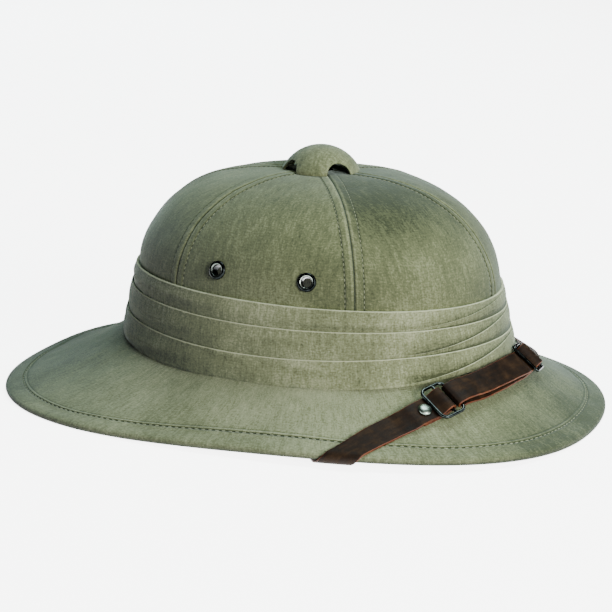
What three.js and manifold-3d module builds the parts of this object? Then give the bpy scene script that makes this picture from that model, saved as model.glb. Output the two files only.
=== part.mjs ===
// A cloth-covered pith helmet that stands on its rim: hollow crown, flared brim, folded band,
// vent cap, eyelets, and a leather chin strap worn up over the front of the brim.
// Millimetres. +X is the front of the hat, +Y its left side, +Z up, and the ground is z = 0.
import * as THREE from 'three';
import Module from 'manifold-3d';
import { mergeVertices } from 'three/addons/utils/BufferGeometryUtils.js';

// Crown: an oval shell, upright behind the band and domed above it.
const FOOT_HEIGHT = 33.9;
const CROWN_X = 4.6;
const FOOT_HALF = { length: 117, width: 99 };
const BAND_TOP_HALF = { length: 111.2, width: 94.9 };
const BAND_HEIGHT = 44.2;
const CROWN_RISE = 105.2;
const DOME_SHOULDER = 1.82;
const DOME_FULLNESS = 3.07;
const SHELL_WALL = 3;
const VENT_HOLE_RADIUS = 6;
// How far the crown's foot and the band's top rise and fall on the way round.
const FOOT_SWAY = { fore: 1.5, ends: 2.8 };
const BAND_TOP_SWAY = { fore: -2.1, ends: -1.1 };

// Brim: a sloping ring between the band's foot and a rounded rim.
const BRIM_START_HALF = { length: 121, width: 103 };
const BRIM_START_DROP = 1.5;
const BRIM_HALF_THICKNESS = 1.5;
const BRIM_HOLLOW = 0.28;
const RIM_X = -3.4;
const RIM_HALF = { length: 186, width: 142.3 };
const RIM_SWELL = { square: -0.042, front: 0.018 };
const RIM_DROP = 30.2;
const RIM_SWAY = { fore: 0.6, ends: -0.7, thrice: -1.9 };
const RIM_RADIUS = 2.2;
const RIM_BLEND = 8;

// Band: three layers of cloth, each lower one outside the one above it.
const CLOTH_INNER_LAYER = 1.3;
const FOLD_STEP = 1.05;
const FOLD_LEDGE = 0.5;
const FOLD_HEIGHTS = { upper: 32, lower: 16.4 };
const CROSSING = { from: -46, to: 12, step: 0.6 };

// Vent cap on the crown's top.
const CAP_RADIUS = 23;
const CAP_HEIGHT = 15;
const CAP_WALL = 2;
const CAP_NOTCH_HALF_WIDTH = 8;
const CAP_NOTCH_HEIGHT = 7.3;
const CAP_NOTCH_TURNS = [51, 141, 231, 321];
const POST_RADIUS = 5.5;
const POST_FLANGE_RADIUS = 10;
const POST_FLANGE_HEIGHT = 1.6;
const POST_HEAD_CLEARANCE = 1.05;

// Eyelets.
const EYELET_RADIUS = 5.4;
const EYELET_BARREL_RADIUS = 3.6;
const EYELET_HOLE_RADIUS = 2.7;
const EYELET_RISE = { seat: 0.5, crest: 1.8, lip: 1.2 };
const EYELET_FOOT = 0.8;
const EYELET_PLACES = [
  { name: 'eyelet_near_front', turn: -74.5, level: 1.137 },
  { name: 'eyelet_near_back', turn: -103.7, level: 1.137 },
  { name: 'eyelet_far_front', turn: 74.5, level: 1.137 },
  { name: 'eyelet_far_back', turn: 103.7, level: 1.137 },
];

// Strap: leather, lying on the brim and round its edge.
const STRAP_WIDTH = 15.6;
const STRAP_THICKNESS = 1.4;
const STRAP_LIFT = 1.1;
const UPPER_LIFT = 2.85;
// On the slope of the brim the strap looks narrower from above than it is.
const SLOPE_NARROWING = 0.21;
const STRAP_GAP = 0.35;
// The strap's route seen from above, from the near rim round the front to the far rim.
const ROUTE = [
  { x: 74.9, y: -127.6 },
  { x: 83.3, y: -113.9 },
  { x: 90.8, y: -103.4 },
  { x: 98.5, y: -92.2 },
  { x: 106.4, y: -79.8 },
  { x: 112.4, y: -68.5 },
  { x: 118.2, y: -57 },
  { x: 123.9, y: -43.5 },
  { x: 128.6, y: -26 },
  { x: 131.2, y: -8 },
  { x: 131.5, y: 2 },
  { x: 130.6, y: 18 },
  { x: 127.4, y: 34 },
  { x: 121, y: 52 },
  { x: 112, y: 69 },
  { x: 101, y: 88 },
  { x: 88, y: 108 },
  { x: 74.9, y: 127.6 },
];
const ROUTE_RING_Y = -73.2;
const ROUTE_SLIDE_Y = 9;
const HIDDEN_LENGTH = 109;
const FLAT_BLEND = 12;
const FITTING_LIFT = 0.4;
const CORNER_EASE = 0.8;
const SLANT_START = 6;
const SLANT_BLEND = 34;
const WIRE_RADIUS = 1;
const BAR_RADIUS = 0.9;
const RING_HALF = { along: 8.2, across: 11.2, corner: 3.8 };
const RING_BAR_OFFSET = 1;
const RING_HEIGHT = 4.9;
const SLIDE_HALF = { along: 6, across: 9.8, corner: 1.6 };
const SLIDE_HEIGHT = 5;
const RIVET = { back: 13.5, head: 4, dome: 2.2, shank: 1.6 };
const STUD = { up: 9, head: 4, plate: 1.4, shank: 1.5 };

// Seats between pieces that touch.
const GAP = 0.3;
const ROUND_STEPS = 60;

// The crown is made of six panels, as its cloth is, and the brim of six sectors.
const SIXTH = 60;
const CROWN_PANELS = [
  { name: 'crown_left_front', from: 0 },
  { name: 'crown_left_side', from: 60 },
  { name: 'crown_left_back', from: 120 },
  { name: 'crown_right_back', from: -180 },
  { name: 'crown_right_side', from: -120 },
  { name: 'crown_right_front', from: -60 },
];
const BRIM_SECTORS = [
  { name: 'brim_front', from: -30 },
  { name: 'brim_left_front', from: 30 },
  { name: 'brim_left_back', from: 90 },
  { name: 'brim_back', from: 150 },
  { name: 'brim_right_back', from: -150 },
  { name: 'brim_right_front', from: -90 },
];

const wasm = await Module();
wasm.setup();

const COLOURS = {
  canvas: { color: 0x80846a, roughness: 0.9, metalness: 0 },
  brim: { color: 0x888d74, roughness: 0.9, metalness: 0 },
  band: { color: 0x969b80, roughness: 0.9, metalness: 0 },
  leather: { color: 0x38281c, roughness: 0.55, metalness: 0 },
  metal: { color: 0x2b2d2e, roughness: 0.35, metalness: 0.9 },
};

const rad = THREE.MathUtils.degToRad;
const lerp = THREE.MathUtils.lerp;
const smooth = (x) => THREE.MathUtils.smoothstep(x, 0, 1);
const sway = (rise, t) => rise.fore * Math.cos(t) + rise.ends * Math.cos(2 * t);

// The crown's outer surface: level runs from 0 at the foot to 1 at the band's top and 2 at the apex.
function crownPoint(t, level) {
  let half = BAND_TOP_HALF;
  let height = 0;
  if (level <= 1) {
    half = {
      length: lerp(FOOT_HALF.length, BAND_TOP_HALF.length, level),
      width: lerp(FOOT_HALF.width, BAND_TOP_HALF.width, level),
    };
    height = BAND_HEIGHT * level + lerp(sway(FOOT_SWAY, t), sway(BAND_TOP_SWAY, t), level);
    return new THREE.Vector3(
      CROWN_X + half.length * Math.cos(t),
      half.width * Math.sin(t),
      FOOT_HEIGHT + height,
    );
  }
  const reach = Math.cos((level - 1) * Math.PI / 2);
  const climb = (1 - reach ** DOME_FULLNESS) ** (1 / DOME_SHOULDER);
  height = lerp(BAND_HEIGHT, CROWN_RISE, climb) + sway(BAND_TOP_SWAY, t) * (1 - climb);
  return new THREE.Vector3(
    CROWN_X + half.length * reach * Math.cos(t),
    half.width * reach * Math.sin(t),
    FOOT_HEIGHT + height,
  );
}

function surfaceNormal(surface, a, b) {
  const step = 1e-3;
  const alongA = surface(a + step, b).sub(surface(a - step, b));
  const alongB = surface(a, b + step).sub(surface(a, b - step));
  return alongA.cross(alongB).normalize();
}

const crownNormal = (t, level) => surfaceNormal(crownPoint, t, level === 1 ? 0.999 : level);
const crownOffset = (t, level, out) => crownPoint(t, level).addScaledVector(crownNormal(t, level), out);

// The brim's middle surface: reach is 0 at the band's foot and 1 at the centre of the rim.
function brimStart(t) {
  return new THREE.Vector3(
    CROWN_X + BRIM_START_HALF.length * Math.cos(t),
    BRIM_START_HALF.width * Math.sin(t),
    FOOT_HEIGHT - BRIM_START_DROP + sway(FOOT_SWAY, t),
  );
}

function rimPoint(t) {
  const swell = 1 + RIM_SWELL.square * Math.cos(4 * t) + RIM_SWELL.front * Math.cos(3 * t);
  return new THREE.Vector3(
    RIM_X + RIM_HALF.length * swell * Math.cos(t),
    RIM_HALF.width * swell * Math.sin(t),
    FOOT_HEIGHT - RIM_DROP + sway(RIM_SWAY, t) + RIM_SWAY.thrice * Math.cos(3 * t),
  );
}

function brimMiddle(t, reach) {
  const start = brimStart(t);
  const end = rimPoint(t);
  const fall = reach + BRIM_HOLLOW * reach * (1 - reach);
  return start.clone().lerp(end, reach).setZ(lerp(start.z, end.z, fall));
}

function brimWidth(t) {
  const start = brimStart(t);
  const end = rimPoint(t);
  return Math.hypot(end.x - start.x, end.y - start.y);
}

function brimHalfThickness(t, reach) {
  const fromRim = (1 - reach) * brimWidth(t);
  return lerp(BRIM_HALF_THICKNESS, RIM_RADIUS, smooth(1 - fromRim / RIM_BLEND));
}

const brimNormal = (t, reach) => surfaceNormal(brimMiddle, t, reach).negate();

// Height of the brim's top or underside straight above a place of its middle surface.
function brimHeight(t, reach, face, lift) {
  const steepness = brimNormal(t, reach).z;
  return brimMiddle(t, reach).z + face * (brimHalfThickness(t, reach) + lift) / steepness;
}

function brimTop(t, reach, lift) {
  return brimMiddle(t, reach).addScaledVector(brimNormal(t, reach), brimHalfThickness(t, reach) + lift);
}

function brimUnder(t, reach, lift) {
  return brimMiddle(t, reach).addScaledVector(brimNormal(t, reach), -brimHalfThickness(t, reach) - lift);
}

// A point of the round edge: turn is 0 on top and pi underneath.
function rimEdge(t, turn, lift) {
  const normal = brimNormal(t, 1);
  const around = rimPoint(t + 1e-3).sub(rimPoint(t - 1e-3));
  const outward = around.cross(normal).normalize();
  const radius = RIM_RADIUS + lift;
  return rimPoint(t)
    .addScaledVector(normal, Math.cos(turn) * radius)
    .addScaledVector(outward, Math.sin(turn) * radius);
}

// Closed meshes from a lattice of points: rings closed both ways, or a strip with two end faces.
function latticeGeometry(columns, closedRound) {
  const rows = columns[0].length;
  const positions = columns.flat().flatMap((point) => point.toArray());
  const index = [];
  const last = closedRound ? columns.length : columns.length - 1;
  for (let i = 0; i < last; i += 1) {
    const next = (i + 1) % columns.length;
    for (let j = 0; j < rows; j += 1) {
      const up = (j + 1) % rows;
      index.push(i * rows + j, next * rows + j, next * rows + up);
      index.push(i * rows + j, next * rows + up, i * rows + up);
    }
  }
  if (!closedRound) {
    const end = (columns.length - 1) * rows;
    const half = rows / 2;
    for (let j = 0; j < half - 1; j += 1) {
      const k = rows - 1 - j;
      index.push(j, j + 1, k, j + 1, k - 1, k);
      index.push(end + j, end + k, end + j + 1, end + j + 1, end + k, end + k - 1);
    }
  }
  const geometry = new THREE.BufferGeometry();
  geometry.setAttribute('position', new THREE.Float32BufferAttribute(positions, 3));
  geometry.setIndex(index);
  return facingOut(geometry);
}

function enclosedVolume(geometry) {
  const place = geometry.attributes.position;
  const corner = [new THREE.Vector3(), new THREE.Vector3(), new THREE.Vector3()];
  let volume = 0;
  for (let i = 0; i < geometry.index.count; i += 3) {
    corner.forEach((point, k) => point.fromBufferAttribute(place, geometry.index.getX(i + k)));
    volume += corner[0].dot(corner[1].cross(corner[2])) / 6;
  }
  return volume;
}

function facingOut(geometry) {
  if (enclosedVolume(geometry) < 0) {
    const order = geometry.index.array;
    for (let i = 0; i < order.length; i += 3) {
      [order[i + 1], order[i + 2]] = [order[i + 2], order[i + 1]];
    }
  }
  geometry.computeVertexNormals();
  return geometry;
}

// Joins and cuts.
function toSolid(geometry) {
  const bare = new THREE.BufferGeometry();
  bare.setAttribute('position', geometry.attributes.position.clone());
  if (geometry.index) bare.setIndex(geometry.index.clone());
  const merged = mergeVertices(bare, 1e-4);
  return new wasm.Manifold(new wasm.Mesh({
    numProp: 3,
    vertProperties: new Float32Array(merged.attributes.position.array),
    triVerts: new Uint32Array(merged.index.array),
  }));
}

function toGeometry(solid) {
  const mesh = solid.getMesh();
  const geometry = new THREE.BufferGeometry();
  geometry.setAttribute('position', new THREE.BufferAttribute(mesh.vertProperties, 3));
  geometry.setIndex(new THREE.BufferAttribute(mesh.triVerts, 1));
  geometry.computeVertexNormals();
  return geometry;
}

// A turned shape on an axis that starts at a point and runs along a direction.
function turnedGeometry(profile, origin, direction, sides) {
  const outline = profile.map(([radius, along]) => new THREE.Vector2(radius, along));
  const shape = new THREE.LatheGeometry(outline, sides);
  const turn = new THREE.Quaternion().setFromUnitVectors(new THREE.Vector3(0, 1, 0), direction);
  shape.applyMatrix4(new THREE.Matrix4().compose(origin, turn, new THREE.Vector3(1, 1, 1)));
  return shape;
}

function pinGeometry(radius, from, to, origin, direction, sides) {
  return turnedGeometry([[0, from], [radius, from], [radius, to], [0, to]], origin, direction, sides);
}

// The crown's foot ends level with the brim's underside.
const footReach = (t) => -(BRIM_START_HALF.length - FOOT_HALF.length) / brimWidth(t);
const innerReach = (t) => footReach(t) - SHELL_WALL / brimWidth(t);

// A level step outward from the crown's foot.
const besideCrown = (t, out) => crownNormal(t, 0).setZ(0).normalize().multiplyScalar(out);
function innerFoot(t) {
  return crownPoint(t, 0).add(besideCrown(t, -SHELL_WALL)).setZ(brimHeight(t, innerReach(t), -1, 0));
}

// A sixth of the way round: its end columns stand half a seat back from its neighbours.
function sixthGeometry(from, columnAt) {
  const steps = ROUND_STEPS * SIXTH / 360;
  const columns = Array.from({ length: steps + 1 }, (_, i) => {
    const t = rad(from + SIXTH * i / steps);
    const column = columnAt(t);
    if (i > 0 && i < steps) return column;
    const aside = columnAt(t + (i === 0 ? 1e-3 : -1e-3));
    return column.map((point, j) => point.clone().addScaledVector(aside[j].sub(point).normalize(), GAP / 2));
  });
  return latticeGeometry(columns, false);
}

function crownColumn(t) {
  const topLevel = 1 + Math.acos(VENT_HOLE_RADIUS / BAND_TOP_HALF.width) / (Math.PI / 2);
  const levels = [0.5, 1, 1.08, 1.18, 1.3, 1.45, 1.62, 1.8, topLevel];
  const outerFoot = crownPoint(t, 0).setZ(brimHeight(t, footReach(t), -1, 0));
  const outside = levels.map((level) => crownOffset(t, level, 0));
  const inside = levels.map((level) => crownOffset(t, level, -SHELL_WALL)).reverse();
  return [outerFoot, ...outside, ...inside, innerFoot(t)];
}

function crownPanelGeometry(from) {
  let solid = toSolid(sixthGeometry(from, crownColumn));
  for (const place of EYELET_PLACES) {
    const t = rad(place.turn);
    const hole = pinGeometry(
      EYELET_BARREL_RADIUS + GAP, -8, 8, crownPoint(t, place.level), crownNormal(t, place.level), 12,
    );
    solid = solid.subtract(toSolid(hole));
  }
  for (const side of [-1, 1]) {
    const stud = studFrame(side);
    solid = solid.subtract(toSolid(pinGeometry(STUD.shank + GAP, -10, 10, stud.origin, stud.inward, 12)));
  }
  return toGeometry(solid);
}

function brimColumn(t) {
  const reaches = [0.2, 0.5, 0.82];
  const collar = (height) => crownPoint(t, 0).add(besideCrown(t, GAP)).setZ(height);
  const top = reaches.map((reach) => brimTop(t, reach, 0));
  const edge = [0, 36, 72, 108, 144, 180].map((turn) => rimEdge(t, rad(turn), 0));
  const under = [...reaches].reverse().map((reach) => brimUnder(t, reach, 0));
  const innerTop = collar(brimHeight(t, footReach(t), 1, 0));
  const innerUnder = collar(brimHeight(t, footReach(t), -1, 0));
  const column = [innerTop, ...top, ...edge, ...under, innerUnder];
  column.forEach((point) => point.setZ(Math.max(point.z, 0)));
  return column;
}

// Band: a fold's upper edge is a small ledge. The far side's folds come down one layer as they
// cross the front over the near side's.
function foldHeight(t, near, far) {
  const degrees = THREE.MathUtils.radToDeg(Math.atan2(Math.sin(t), Math.cos(t)));
  return lerp(near, far, smooth((degrees - CROSSING.from) / (CROSSING.to - CROSSING.from)));
}

function crossingStep(t) {
  const degrees = THREE.MathUtils.radToDeg(Math.atan2(Math.sin(t), Math.cos(t)));
  const part = (degrees - CROSSING.from) / (CROSSING.to - CROSSING.from);
  return part > 0 && part < 1 ? CROSSING.step * Math.sin(Math.PI * part) ** 0.5 : 0;
}

function bandGeometry() {
  const { upper, lower } = FOLD_HEIGHTS;
  const columns = Array.from({ length: ROUND_STEPS }, (_, i) => {
    const t = rad(360 * i / ROUND_STEPS);
    const crossing = crossingStep(t);
    const folds = [
      { height: foldHeight(t, 1.2, lower - 1.2), step: crossing },
      { height: lower, step: FOLD_STEP },
      { height: foldHeight(t, lower + 1.2, upper - 1.2), step: crossing },
      { height: upper, step: FOLD_STEP },
    ];
    let out = CLOTH_INNER_LAYER + 2 * FOLD_STEP + 2 * crossing;
    const at = (height, offset) => crownOffset(t, height / BAND_HEIGHT, GAP + offset);
    const footAt = (offset) => brimHeight(t, footReach(t) + (GAP + offset) / brimWidth(t), 1, 1.4 * GAP);
    const outside = [crownPoint(t, 0).add(besideCrown(t, GAP + out)).setZ(footAt(out))];
    for (const fold of folds) {
      outside.push(at(fold.height, out));
      out -= fold.step;
      outside.push(at(fold.height + FOLD_LEDGE, out));
    }
    outside.push(at(BAND_HEIGHT, out));
    const innerFootEdge = crownPoint(t, 0).add(besideCrown(t, GAP)).setZ(footAt(0));
    const inside = [at(BAND_HEIGHT, 0), at(upper, 0), at(lower, 0), innerFootEdge];
    return [...outside, ...inside];
  });
  return latticeGeometry(columns, true);
}

// Vent cap: a thin dome on a post through the crown's top, open underneath, with four notches.
const crownTop = crownPoint(0, 2);

// A shallow round dome: part of a ball's outline, from its edge up to its top.
function capProfile(radius, height, base) {
  const steps = 6;
  const ball = (radius ** 2 + height ** 2) / (2 * height);
  const edgeTurn = Math.acos((ball - height) / ball);
  return Array.from({ length: steps + 1 }, (_, i) => {
    const turn = edgeTurn * (1 - i / steps);
    return [ball * Math.sin(turn), base + height - ball * (1 - Math.cos(turn))];
  });
}

function ventCapGeometry() {
  const up = new THREE.Vector3(0, 0, 1);
  const skirt = 1;
  const outer = capProfile(CAP_RADIUS, CAP_HEIGHT - skirt, skirt);
  const inner = capProfile(CAP_RADIUS - CAP_WALL, CAP_HEIGHT - skirt - CAP_WALL, skirt).reverse();
  outer[outer.length - 1][0] = 0;
  inner[0][0] = 0;
  const profile = [...inner, [CAP_RADIUS - CAP_WALL, 0], [CAP_RADIUS, 0], ...outer];
  let solid = toSolid(turnedGeometry(profile, crownTop, up, 22));
  for (const degrees of CAP_NOTCH_TURNS) {
    const notch = new THREE.CylinderGeometry(CAP_NOTCH_HALF_WIDTH, CAP_NOTCH_HALF_WIDTH, CAP_RADIUS, 10);
    notch.rotateZ(Math.PI / 2);
    notch.scale(1, 1, CAP_NOTCH_HEIGHT / CAP_NOTCH_HALF_WIDTH);
    notch.translate(CAP_RADIUS * 1.1, 0, -0.5);
    notch.rotateZ(rad(degrees));
    notch.translate(crownTop.x, crownTop.y, crownTop.z);
    solid = solid.subtract(toSolid(notch));
  }
  return toGeometry(solid);
}

// The post's foot spreads under the crown and its head under the cap.
function ventPostGeometry() {
  const under = -SHELL_WALL - GAP;
  const head = CAP_HEIGHT - CAP_WALL - POST_HEAD_CLEARANCE;
  const profile = [
    [0, under - POST_FLANGE_HEIGHT],
    [POST_FLANGE_RADIUS, under - POST_FLANGE_HEIGHT],
    [POST_FLANGE_RADIUS, under],
    [POST_RADIUS, under],
    [POST_RADIUS, head],
    [0, head],
  ];
  return turnedGeometry(profile, crownTop, new THREE.Vector3(0, 0, 1), 16);
}

function eyeletGeometry(place) {
  const t = rad(place.turn);
  const profile = [
    [EYELET_HOLE_RADIUS, -SHELL_WALL - EYELET_FOOT],
    [EYELET_BARREL_RADIUS, -SHELL_WALL - EYELET_FOOT],
    [EYELET_BARREL_RADIUS, EYELET_RISE.seat],
    [EYELET_RADIUS, EYELET_RISE.seat],
    [lerp(EYELET_HOLE_RADIUS, EYELET_RADIUS, 0.65), EYELET_RISE.crest],
    [EYELET_HOLE_RADIUS, EYELET_RISE.lip],
    [EYELET_HOLE_RADIUS, -SHELL_WALL - EYELET_FOOT],
  ];
  return turnedGeometry(profile, crownPoint(t, place.level), crownNormal(t, place.level), 12);
}

// Strap route: the brim unfolded flat. A point outside the rim is on the round edge or underneath.
const route = new THREE.CatmullRomCurve3(
  ROUTE.map(({ x, y }) => new THREE.Vector3(x, y, 0)), false, 'centripetal',
);
const ROUTE_LENGTH = route.getLength();

function routeDistanceAt(y) {
  let low = 0;
  let high = 1;
  for (let i = 0; i < 30; i += 1) {
    const middle = (low + high) / 2;
    if (route.getPointAt(middle).y < y) low = middle;
    else high = middle;
  }
  return low * ROUTE_LENGTH;
}

const RING_AT = routeDistanceAt(ROUTE_RING_Y);
const SLIDE_AT = routeDistanceAt(ROUTE_SLIDE_Y);

// Place and direction on the unfolded route; it runs straight on past both rims.
function routeFrame(distance) {
  const inside = THREE.MathUtils.clamp(distance / ROUTE_LENGTH, 0, 1);
  const along = route.getTangentAt(inside);
  const point = route.getPointAt(inside).addScaledVector(along, distance - inside * ROUTE_LENGTH);
  const across = new THREE.Vector3(along.y, -along.x, 0);
  return { point, along, across };
}

// Finds the brim's own coordinates of a point seen from above.
function brimPlace(x, y) {
  let t = Math.atan2(y / RIM_HALF.width, (x - RIM_X) / RIM_HALF.length);
  let reach = 0.5;
  const step = 1e-4;
  for (let i = 0; i < 12; i += 1) {
    const here = brimMiddle(t, reach);
    const byT = brimMiddle(t + step, reach).sub(here).divideScalar(step);
    const byReach = brimMiddle(t, reach + step).sub(here).divideScalar(step);
    const det = byT.x * byReach.y - byT.y * byReach.x;
    const dx = x - here.x;
    const dy = y - here.y;
    t += (dx * byReach.y - dy * byReach.x) / det;
    reach += (byT.x * dy - byT.y * dx) / det;
  }
  return { t, reach };
}

// The fold line at each side: the rim where the strap crosses it, and the way inward from there.
function wrapFrame(side) {
  const end = ROUTE[side < 0 ? 0 : ROUTE.length - 1];
  const { t } = brimPlace(end.x, end.y);
  const along = rimPoint(t + 1e-3).sub(rimPoint(t - 1e-3)).setZ(0).normalize();
  const inward = new THREE.Vector3(-along.y, along.x, 0);
  return { t, origin: rimPoint(t).setZ(0), along, inward };
}

const WRAPS = { '-1': wrapFrame(-1), 1: wrapFrame(1) };

function rimAngleBeside(wrap, x, y) {
  const target = (x - wrap.origin.x) * wrap.along.x + (y - wrap.origin.y) * wrap.along.y;
  let t = wrap.t;
  for (let i = 0; i < 8; i += 1) {
    const here = rimPoint(t).setZ(0).sub(wrap.origin).dot(wrap.along);
    const slope = rimPoint(t + 1e-3).sub(rimPoint(t)).dot(wrap.along) / 1e-3;
    t += (target - here) / slope;
  }
  return t;
}

// Maps a point of the unfolded brim, at a height above the cloth, to its place on the hat.
function strapPoint(x, y, height) {
  const wrap = WRAPS[y < 0 ? -1 : 1];
  const t = rimAngleBeside(wrap, x, y);
  const rim = rimPoint(t);
  const beyond = -((x - rim.x) * wrap.inward.x + (y - rim.y) * wrap.inward.y);
  if (Math.abs(y) < 60 || beyond <= 0) {
    const place = brimPlace(x, y);
    return brimTop(place.t, Math.min(place.reach, 1), height);
  }
  const turnLength = Math.PI * (RIM_RADIUS + STRAP_LIFT);
  if (beyond < turnLength) {
    return rimEdge(t, (beyond / turnLength) * Math.PI, height);
  }
  const back = beyond - turnLength;
  const under = { x: rim.x + back * wrap.inward.x, y: rim.y + back * wrap.inward.y };
  const wall = insideCrown(under.x, under.y);
  if (wall.past > 0) return innerWallPoint(wall.t, wall.past, height);
  const place = brimPlace(under.x, under.y);
  return brimUnder(place.t, Math.min(place.reach, 1), height);
}

// How far a point seen from above lies inside the crown's inner wall.
function insideCrown(x, y) {
  const length = FOOT_HALF.length - SHELL_WALL;
  const width = FOOT_HALF.width - SHELL_WALL;
  const t = Math.atan2(y / width, (x - CROWN_X) / length);
  const wallDistance = Math.hypot(length * Math.cos(t), width * Math.sin(t));
  return { t, past: wallDistance - Math.hypot(x - CROWN_X, y) };
}

// Round the crown's lower inner edge and up its inner wall.
function innerWallPoint(t, past, height) {
  const corner = innerFoot(t);
  const down = brimNormal(t, innerReach(t)).negate();
  const inward = crownNormal(t, 0).negate();
  const bend = down.angleTo(inward);
  const bendLength = bend * (STRAP_LIFT + 0.6);
  if (past < bendLength) {
    const part = past / bendLength;
    const direction = down.clone().multiplyScalar(Math.sin((1 - part) * bend))
      .addScaledVector(inward, Math.sin(part * bend)).normalize();
    return corner.addScaledVector(direction, height + CORNER_EASE * Math.sin(part * Math.PI));
  }
  const climbed = past - bendLength;
  const foot = crownPoint(t, 0).add(besideCrown(t, -SHELL_WALL));
  const rise = climbed + corner.z - foot.z;
  const wall = crownOffset(t, Math.max(rise, 0) / BAND_HEIGHT, -SHELL_WALL - height);
  if (rise < 0) wall.z = corner.z + climbed;
  return wall;
}

// Beside a flat fitting the strap lies flat too, so that it runs true through the wire.
const FITTINGS = [
  { at: RING_AT, before: 21, after: 12, matrix: fittingMatrix(RING_AT) },
  { at: SLIDE_AT, before: 11, after: 11, matrix: fittingMatrix(SLIDE_AT) },
];

function strapPlace(at, out, height) {
  const { point, across } = routeFrame(at);
  const seen = out * (1 - SLOPE_NARROWING * Math.sin(Math.PI * THREE.MathUtils.clamp(at / ROUTE_LENGTH, 0, 1)));
  const place = strapPoint(point.x + across.x * seen, point.y + across.y * seen, height);
  for (const fitting of FITTINGS) {
    const along = at - fitting.at;
    const beyond = Math.max(-along - fitting.before, along - fitting.after, 0);
    const flatness = smooth(1 - beyond / FLAT_BLEND);
    const flat = new THREE.Vector3(along, -out, height).applyMatrix4(fitting.matrix);
    place.lerp(flat, flatness);
  }
  return place;
}

// Near the rims the lines across the strap lie along the rim, so that it bends cleanly round it.
function acrossSlant(at) {
  const inward = Math.min(at, ROUTE_LENGTH - at);
  const slant = smooth(1 - (inward - SLANT_START) / SLANT_BLEND);
  return slant * (at < ROUTE_LENGTH / 2 ? SLANTS[-1] : SLANTS[1]);
}

function rimSlant(side) {
  const { along } = routeFrame(side < 0 ? 0 : ROUTE_LENGTH);
  const across = new THREE.Vector3(along.y, -along.x, 0);
  const { inward } = WRAPS[side];
  return -across.dot(inward) / along.dot(inward);
}

const SLANTS = { '-1': rimSlant(-1), 1: rimSlant(1) };

// A ribbon of leather: its path gives the distance along the route and the height of its middle.
function ribbonGeometry(path) {
  const across = [-1, -0.33, 0.33, 1].map((part) => part * STRAP_WIDTH / 2);
  const columns = path.map((here, i) => {
    const before = path[Math.max(i - 1, 0)];
    const after = path[Math.min(i + 1, path.length - 1)];
    const lean = Math.atan2(after.height - before.height, after.at - before.at);
    const side = (offset) => {
      const at = here.at - Math.sin(lean) * offset;
      const height = here.height + Math.cos(lean) * offset;
      return across.map((out) => strapPlace(at + out * acrossSlant(at), out, height));
    };
    return [...side(STRAP_THICKNESS / 2), ...side(-STRAP_THICKNESS / 2).reverse()];
  });
  return latticeGeometry(columns, false);
}

function arcPath(at, height, radius, fromDegrees, toDegrees, steps) {
  return Array.from({ length: steps + 1 }, (_, i) => {
    const turn = rad(lerp(fromDegrees, toDegrees, i / steps));
    return { at: at + radius * Math.cos(turn), height: height + radius * Math.sin(turn) };
  });
}

// Evenly spaced stations where the strap lies on the brim.
function flatStations(from, to, spacing) {
  const count = Math.max(1, Math.round(Math.abs(to - from) / spacing));
  return Array.from({ length: count + 1 }, (_, i) => ({ at: lerp(from, to, i / count), height: STRAP_LIFT }));
}

const BAR_LOOP = BAR_RADIUS + STRAP_GAP + STRAP_THICKNESS / 2;
const WIRE_LOOP = WIRE_RADIUS + STRAP_GAP + STRAP_THICKNESS / 2;

// Length of the strap that one round of the rim's edge, or of the crown's lower edge, takes up.
function slantedLength(side, straight) {
  const { along } = routeFrame(side < 0 ? 0 : ROUTE_LENGTH);
  return straight / Math.abs(along.dot(WRAPS[side].inward));
}

// The hidden stretch: round the rim, under the brim and up the crown's inner wall.
function hiddenStations(side) {
  const turn = slantedLength(side, Math.PI * (RIM_RADIUS + STRAP_LIFT));
  const under = HIDDEN_LENGTH - 46;
  const distances = [
    ...[0, 1, 2, 3, 4, 5, 6].map((i) => (turn * i) / 6),
    turn + 6, lerp(turn + 6, under, 0.35), lerp(turn + 6, under, 0.7), under,
  ];
  for (let distance = under + 3; distance < HIDDEN_LENGTH - 2; distance += 3.6) distances.push(distance);
  distances.push(HIDDEN_LENGTH);
  const from = side < 0 ? 0 : ROUTE_LENGTH;
  return distances.map((distance) => ({ at: from + side * distance, height: STRAP_LIFT }));
}

function shortStrapPath() {
  const bar = RING_AT + RING_BAR_OFFSET;
  return [
    { at: RING_AT - 19, height: 1 },
    { at: RING_AT - 14, height: 1 },
    { at: RING_AT - 9, height: 1 },
    { at: RING_AT - 4.5, height: 1.7 },
    ...arcPath(bar, RING_HEIGHT, BAR_LOOP, -90, 120, 6),
    { at: RING_AT - 7.4, height: UPPER_LIFT },
    { at: RING_AT - 12.5, height: UPPER_LIFT },
    { at: RING_AT - 17, height: UPPER_LIFT },
    { at: RING_AT - 20.5, height: 2.5 },
    { at: RING_AT - 25, height: 1.5 },
    ...flatStations(RING_AT - 30, 6, 9),
    ...hiddenStations(-1),
  ];
}

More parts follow.
